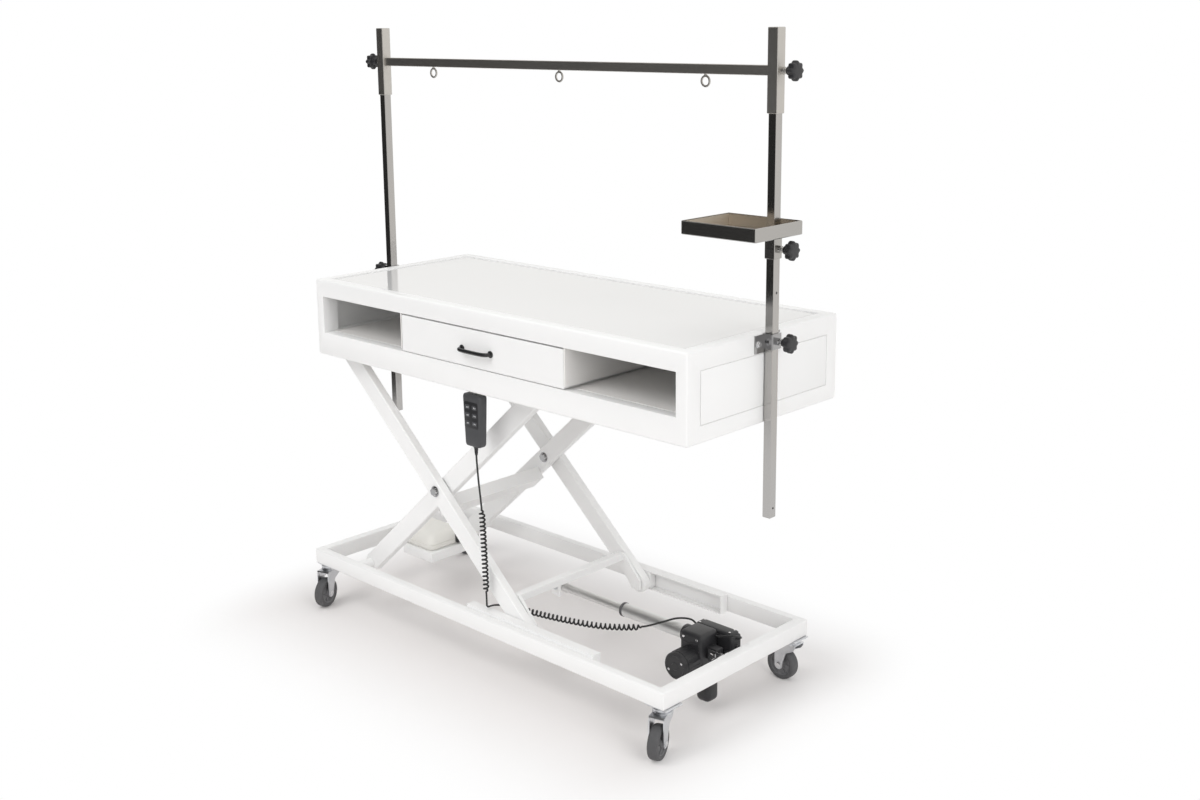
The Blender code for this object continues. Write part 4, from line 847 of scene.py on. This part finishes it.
LEAD = [(BOX_X1 + GAP, LEAD_Y, ACT_Z + 0.002), (BOX_X1 + 0.004, LEAD_Y, ACT_Z + 0.002),
        (BOX_X1 + 0.012, LEAD_Y - 0.001, ACT_Z + 0.007), (BOX_X1 + 0.015, LEAD_Y - 0.011, ACT_Z + 0.013),
        (BOX_X1 + 0.010, LEAD_Y - 0.023, ACT_Z + 0.017), (BOX_X1 - 0.004, LEAD_Y - 0.029, ACT_Z + 0.015),
        (CASE_X1 + 0.018, LEAD_Y - 0.031, ACT_Z + 0.010), (CASE_X1 + 0.008, LEAD_Y - 0.0315, ACT_Z + 0.0075),
        (CASE_X1 + 0.004, LEAD_Y - 0.0315, ACT_Z + 0.0075), (CASE_X1 + GAP, LEAD_Y - 0.0315, ACT_Z + 0.0075)]
hanging = cord("curly_cord_hanging", curled(HANG, 0.40, 0.93, 20, 14), ("cord_hanging",))
sink = Vector((LIFT_DRIFT, 0.0, LIFT_DROP))
reach = (Vector(HANG[0]) - SPLIT).dot(sink) / sink.length
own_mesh(hanging)
cord("curly_cord_lying", curled(LIE, 0.18, 0.74, 28, 14), ("cord_lying",))
cord("motor_lead_cord", smooth(LEAD, 0.004), ("motor_lead",))


def relief():
    sleeve = new()
    prof = [(0.0064, 0.002), (0.0064, -0.002), (0.0056, -0.004)]
    for i in range(5):
        z = -0.005 - i * 0.0034
        r = 0.0050 - i * 0.00035
        prof += [(r, z), (r, z - 0.0016), (r - 0.0007, z - 0.0020), (r - 0.0007, z - 0.0030)]
    prof += [(0.0026, -0.0225), (0.0023, -0.0240)]
    turned(sleeve, (HS_X, HS_Y, CORD_TOP), (0, 0, 1), prof, 28)
    ob = piece("cord_relief", sleeve, BLACK, "table", (), 50.0)
    tuple(HANG[0])
    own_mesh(ob)


relief()


# Stage and light.
FLOOR_R, FLOOR_COLOR = 2.4, (0.84, 0.815, 0.805, 1.0)
FADE = (-0.05, 0.40)
FADE_FROM = (("X", -0.10, 0.58, 1.5), ("Y", 0.0, 0.25, 1.0))  # axis, middle, half length, steepness
AMBIENT = 0.62
DARK_SIDE, DARK_SPAN, DARK_LEVEL = Vector((-0.60, -0.80, 0.0)), (0.15, 0.72), 0.035
MIRROR_COLOR = (1.0, 0.985, 0.96, 1)
LAMPS = (("key", (-0.9, -2.9, 3.6), (0, 0, 0.6), 2.4, 62.0),  # name, place, aim, size, watts
         ("fill", (3.6, -0.8, 1.9), (0, 0, 0.6), 2.2, 44.0),
         ("low", (0.6, -3.4, 0.9), (0, 0, 0.4), 1.8, 11.0),
         ("top", (0.2, 0.6, 4.2), (0, 0, 0.8), 2.6, 14.0))


def calc(tree, kind, a, b=None, clamp=False):
    """A Math node on a socket and a second socket or a number. Gives its result's socket."""
    node = tree.nodes.new("ShaderNodeMath")
    node.operation = kind
    node.use_clamp = clamp
    tree.links.new(a, node.inputs[0])
    if isinstance(b, float):
        node.inputs[1].default_value = b
    elif b is not None:
        tree.links.new(b, node.inputs[1])
    return node.outputs[0]


def span_of(tree, value, start, end):
    """A smooth step of a socket between two values, as a Map Range node."""
    node = tree.nodes.new("ShaderNodeMapRange")
    node.interpolation_type = "SMOOTHSTEP"
    node.inputs["From Min"].default_value = start
    node.inputs["From Max"].default_value = end
    tree.links.new(value, node.inputs["Value"])
    return node


def blend_of(tree, share, a, b):
    node = tree.nodes.new("ShaderNodeMixShader")
    for k, socket in enumerate((share, a, b)):
        tree.links.new(socket, node.inputs[k])
    return node.outputs[0]


def floor_look():
    """Keeps the shadow near the base, and fades to white around it for the eye and in mirrors."""
    m = bpy.data.materials.new("floor")
    m.use_nodes = True
    t = m.node_tree
    p = t.nodes["Principled BSDF"]
    p.inputs["Base Color"].default_value = FLOOR_COLOR
    p.inputs["Roughness"].default_value = 0.75
    p.inputs["Specular IOR Level"].default_value = 0.15
    path = t.nodes.new("ShaderNodeLightPath").outputs
    seen = calc(t, "ADD", path["Is Camera Ray"], path["Is Glossy Ray"])
    seen = calc(t, "ADD", seen, path["Is Transmission Ray"], clamp=True)
    axes = t.nodes.new("ShaderNodeSeparateXYZ")
    link(t, t.nodes.new("ShaderNodeTexCoord"), "Object", axes, "Vector")
    both = t.nodes.new("ShaderNodeCombineXYZ")
    for k, (axis, middle, half, steep) in enumerate(FADE_FROM):
        off = calc(t, "ABSOLUTE", calc(t, "SUBTRACT", axes.outputs[axis], middle))
        off = calc(t, "MAXIMUM", calc(t, "SUBTRACT", off, half), 0.0)
        t.links.new(calc(t, "MULTIPLY", off, steep), both.inputs[k])
    far = t.nodes.new("ShaderNodeVectorMath")
    far.operation = "LENGTH"
    t.links.new(both.outputs[0], far.inputs[0])
    fade = span_of(t, far.outputs["Value"], *FADE)
    share = calc(t, "MULTIPLY", seen, fade.outputs["Result"])
    glow = t.nodes.new("ShaderNodeEmission")
    mixed = blend_of(t, share, p.outputs[0], glow.outputs[0])
    t.links.new(mixed, t.nodes["Material Output"].inputs["Surface"])
    return m


def stage():
    bm = new()
    bmesh.ops.create_circle(bm, cap_ends=True, segments=96, radius=FLOOR_R)
    mesh = bpy.data.meshes.new("floor")
    bm.to_mesh(mesh)
    bm.free()
    floor = bpy.data.objects.new("floor", mesh)
    scene.collection.objects.link(floor)
    mesh.materials.append(floor_look())


def sky(tree, strength, color):
    node = tree.nodes.new("ShaderNodeBackground")
    node.inputs["Strength"].default_value = strength
    node.inputs["Color"].default_value = color
    return node


def world():
    """White to the eye, plain soft light on the object, and a dark room ahead for metal to mirror."""
    w = bpy.data.worlds.new("studio")
    scene.world = w
    w.use_nodes = True
    t = w.node_tree
    t.nodes.clear()
    out = t.nodes.new("ShaderNodeOutputWorld")
    path = t.nodes.new("ShaderNodeLightPath").outputs
    white = sky(t, 1.0, (1, 1, 1, 1))
    soft = sky(t, AMBIENT, (1, 1, 1, 1))
    mirror = sky(t, 1.0, MIRROR_COLOR)
    ahead = t.nodes.new("ShaderNodeVectorMath")
    ahead.operation = "DOT_PRODUCT"
    ahead.inputs[1].default_value = DARK_SIDE
    link(t, t.nodes.new("ShaderNodeTexCoord"), "Generated", ahead, 0)
    dim = span_of(t, ahead.outputs["Value"], *DARK_SPAN)
    dim.inputs["To Min"].default_value = 1.0
    dim.inputs["To Max"].default_value = DARK_LEVEL
    link(t, dim, "Result", mirror, "Strength")
    glossy = calc(t, "ADD", path["Is Glossy Ray"], path["Is Transmission Ray"], clamp=True)
    around = blend_of(t, glossy, soft.outputs[0], mirror.outputs[0])
    t.links.new(blend_of(t, path["Is Camera Ray"], around, white.outputs[0]), out.inputs[0])


def lamp(name, at, to, size, power):
    data = bpy.data.lights.new(name, "AREA")
    data.shape = "DISK"
    data.size = size
    data.energy = power
    ob = bpy.data.objects.new(name, data)
    ob.location = at
    ob.rotation_euler = (Vector(to) - Vector(at)).to_track_quat("-Z", "Y").to_euler()
    ob.visible_glossy = False
    ob.visible_camera = False
    scene.collection.objects.link(ob)


stage()
world()
for row in LAMPS:
    lamp(*row)
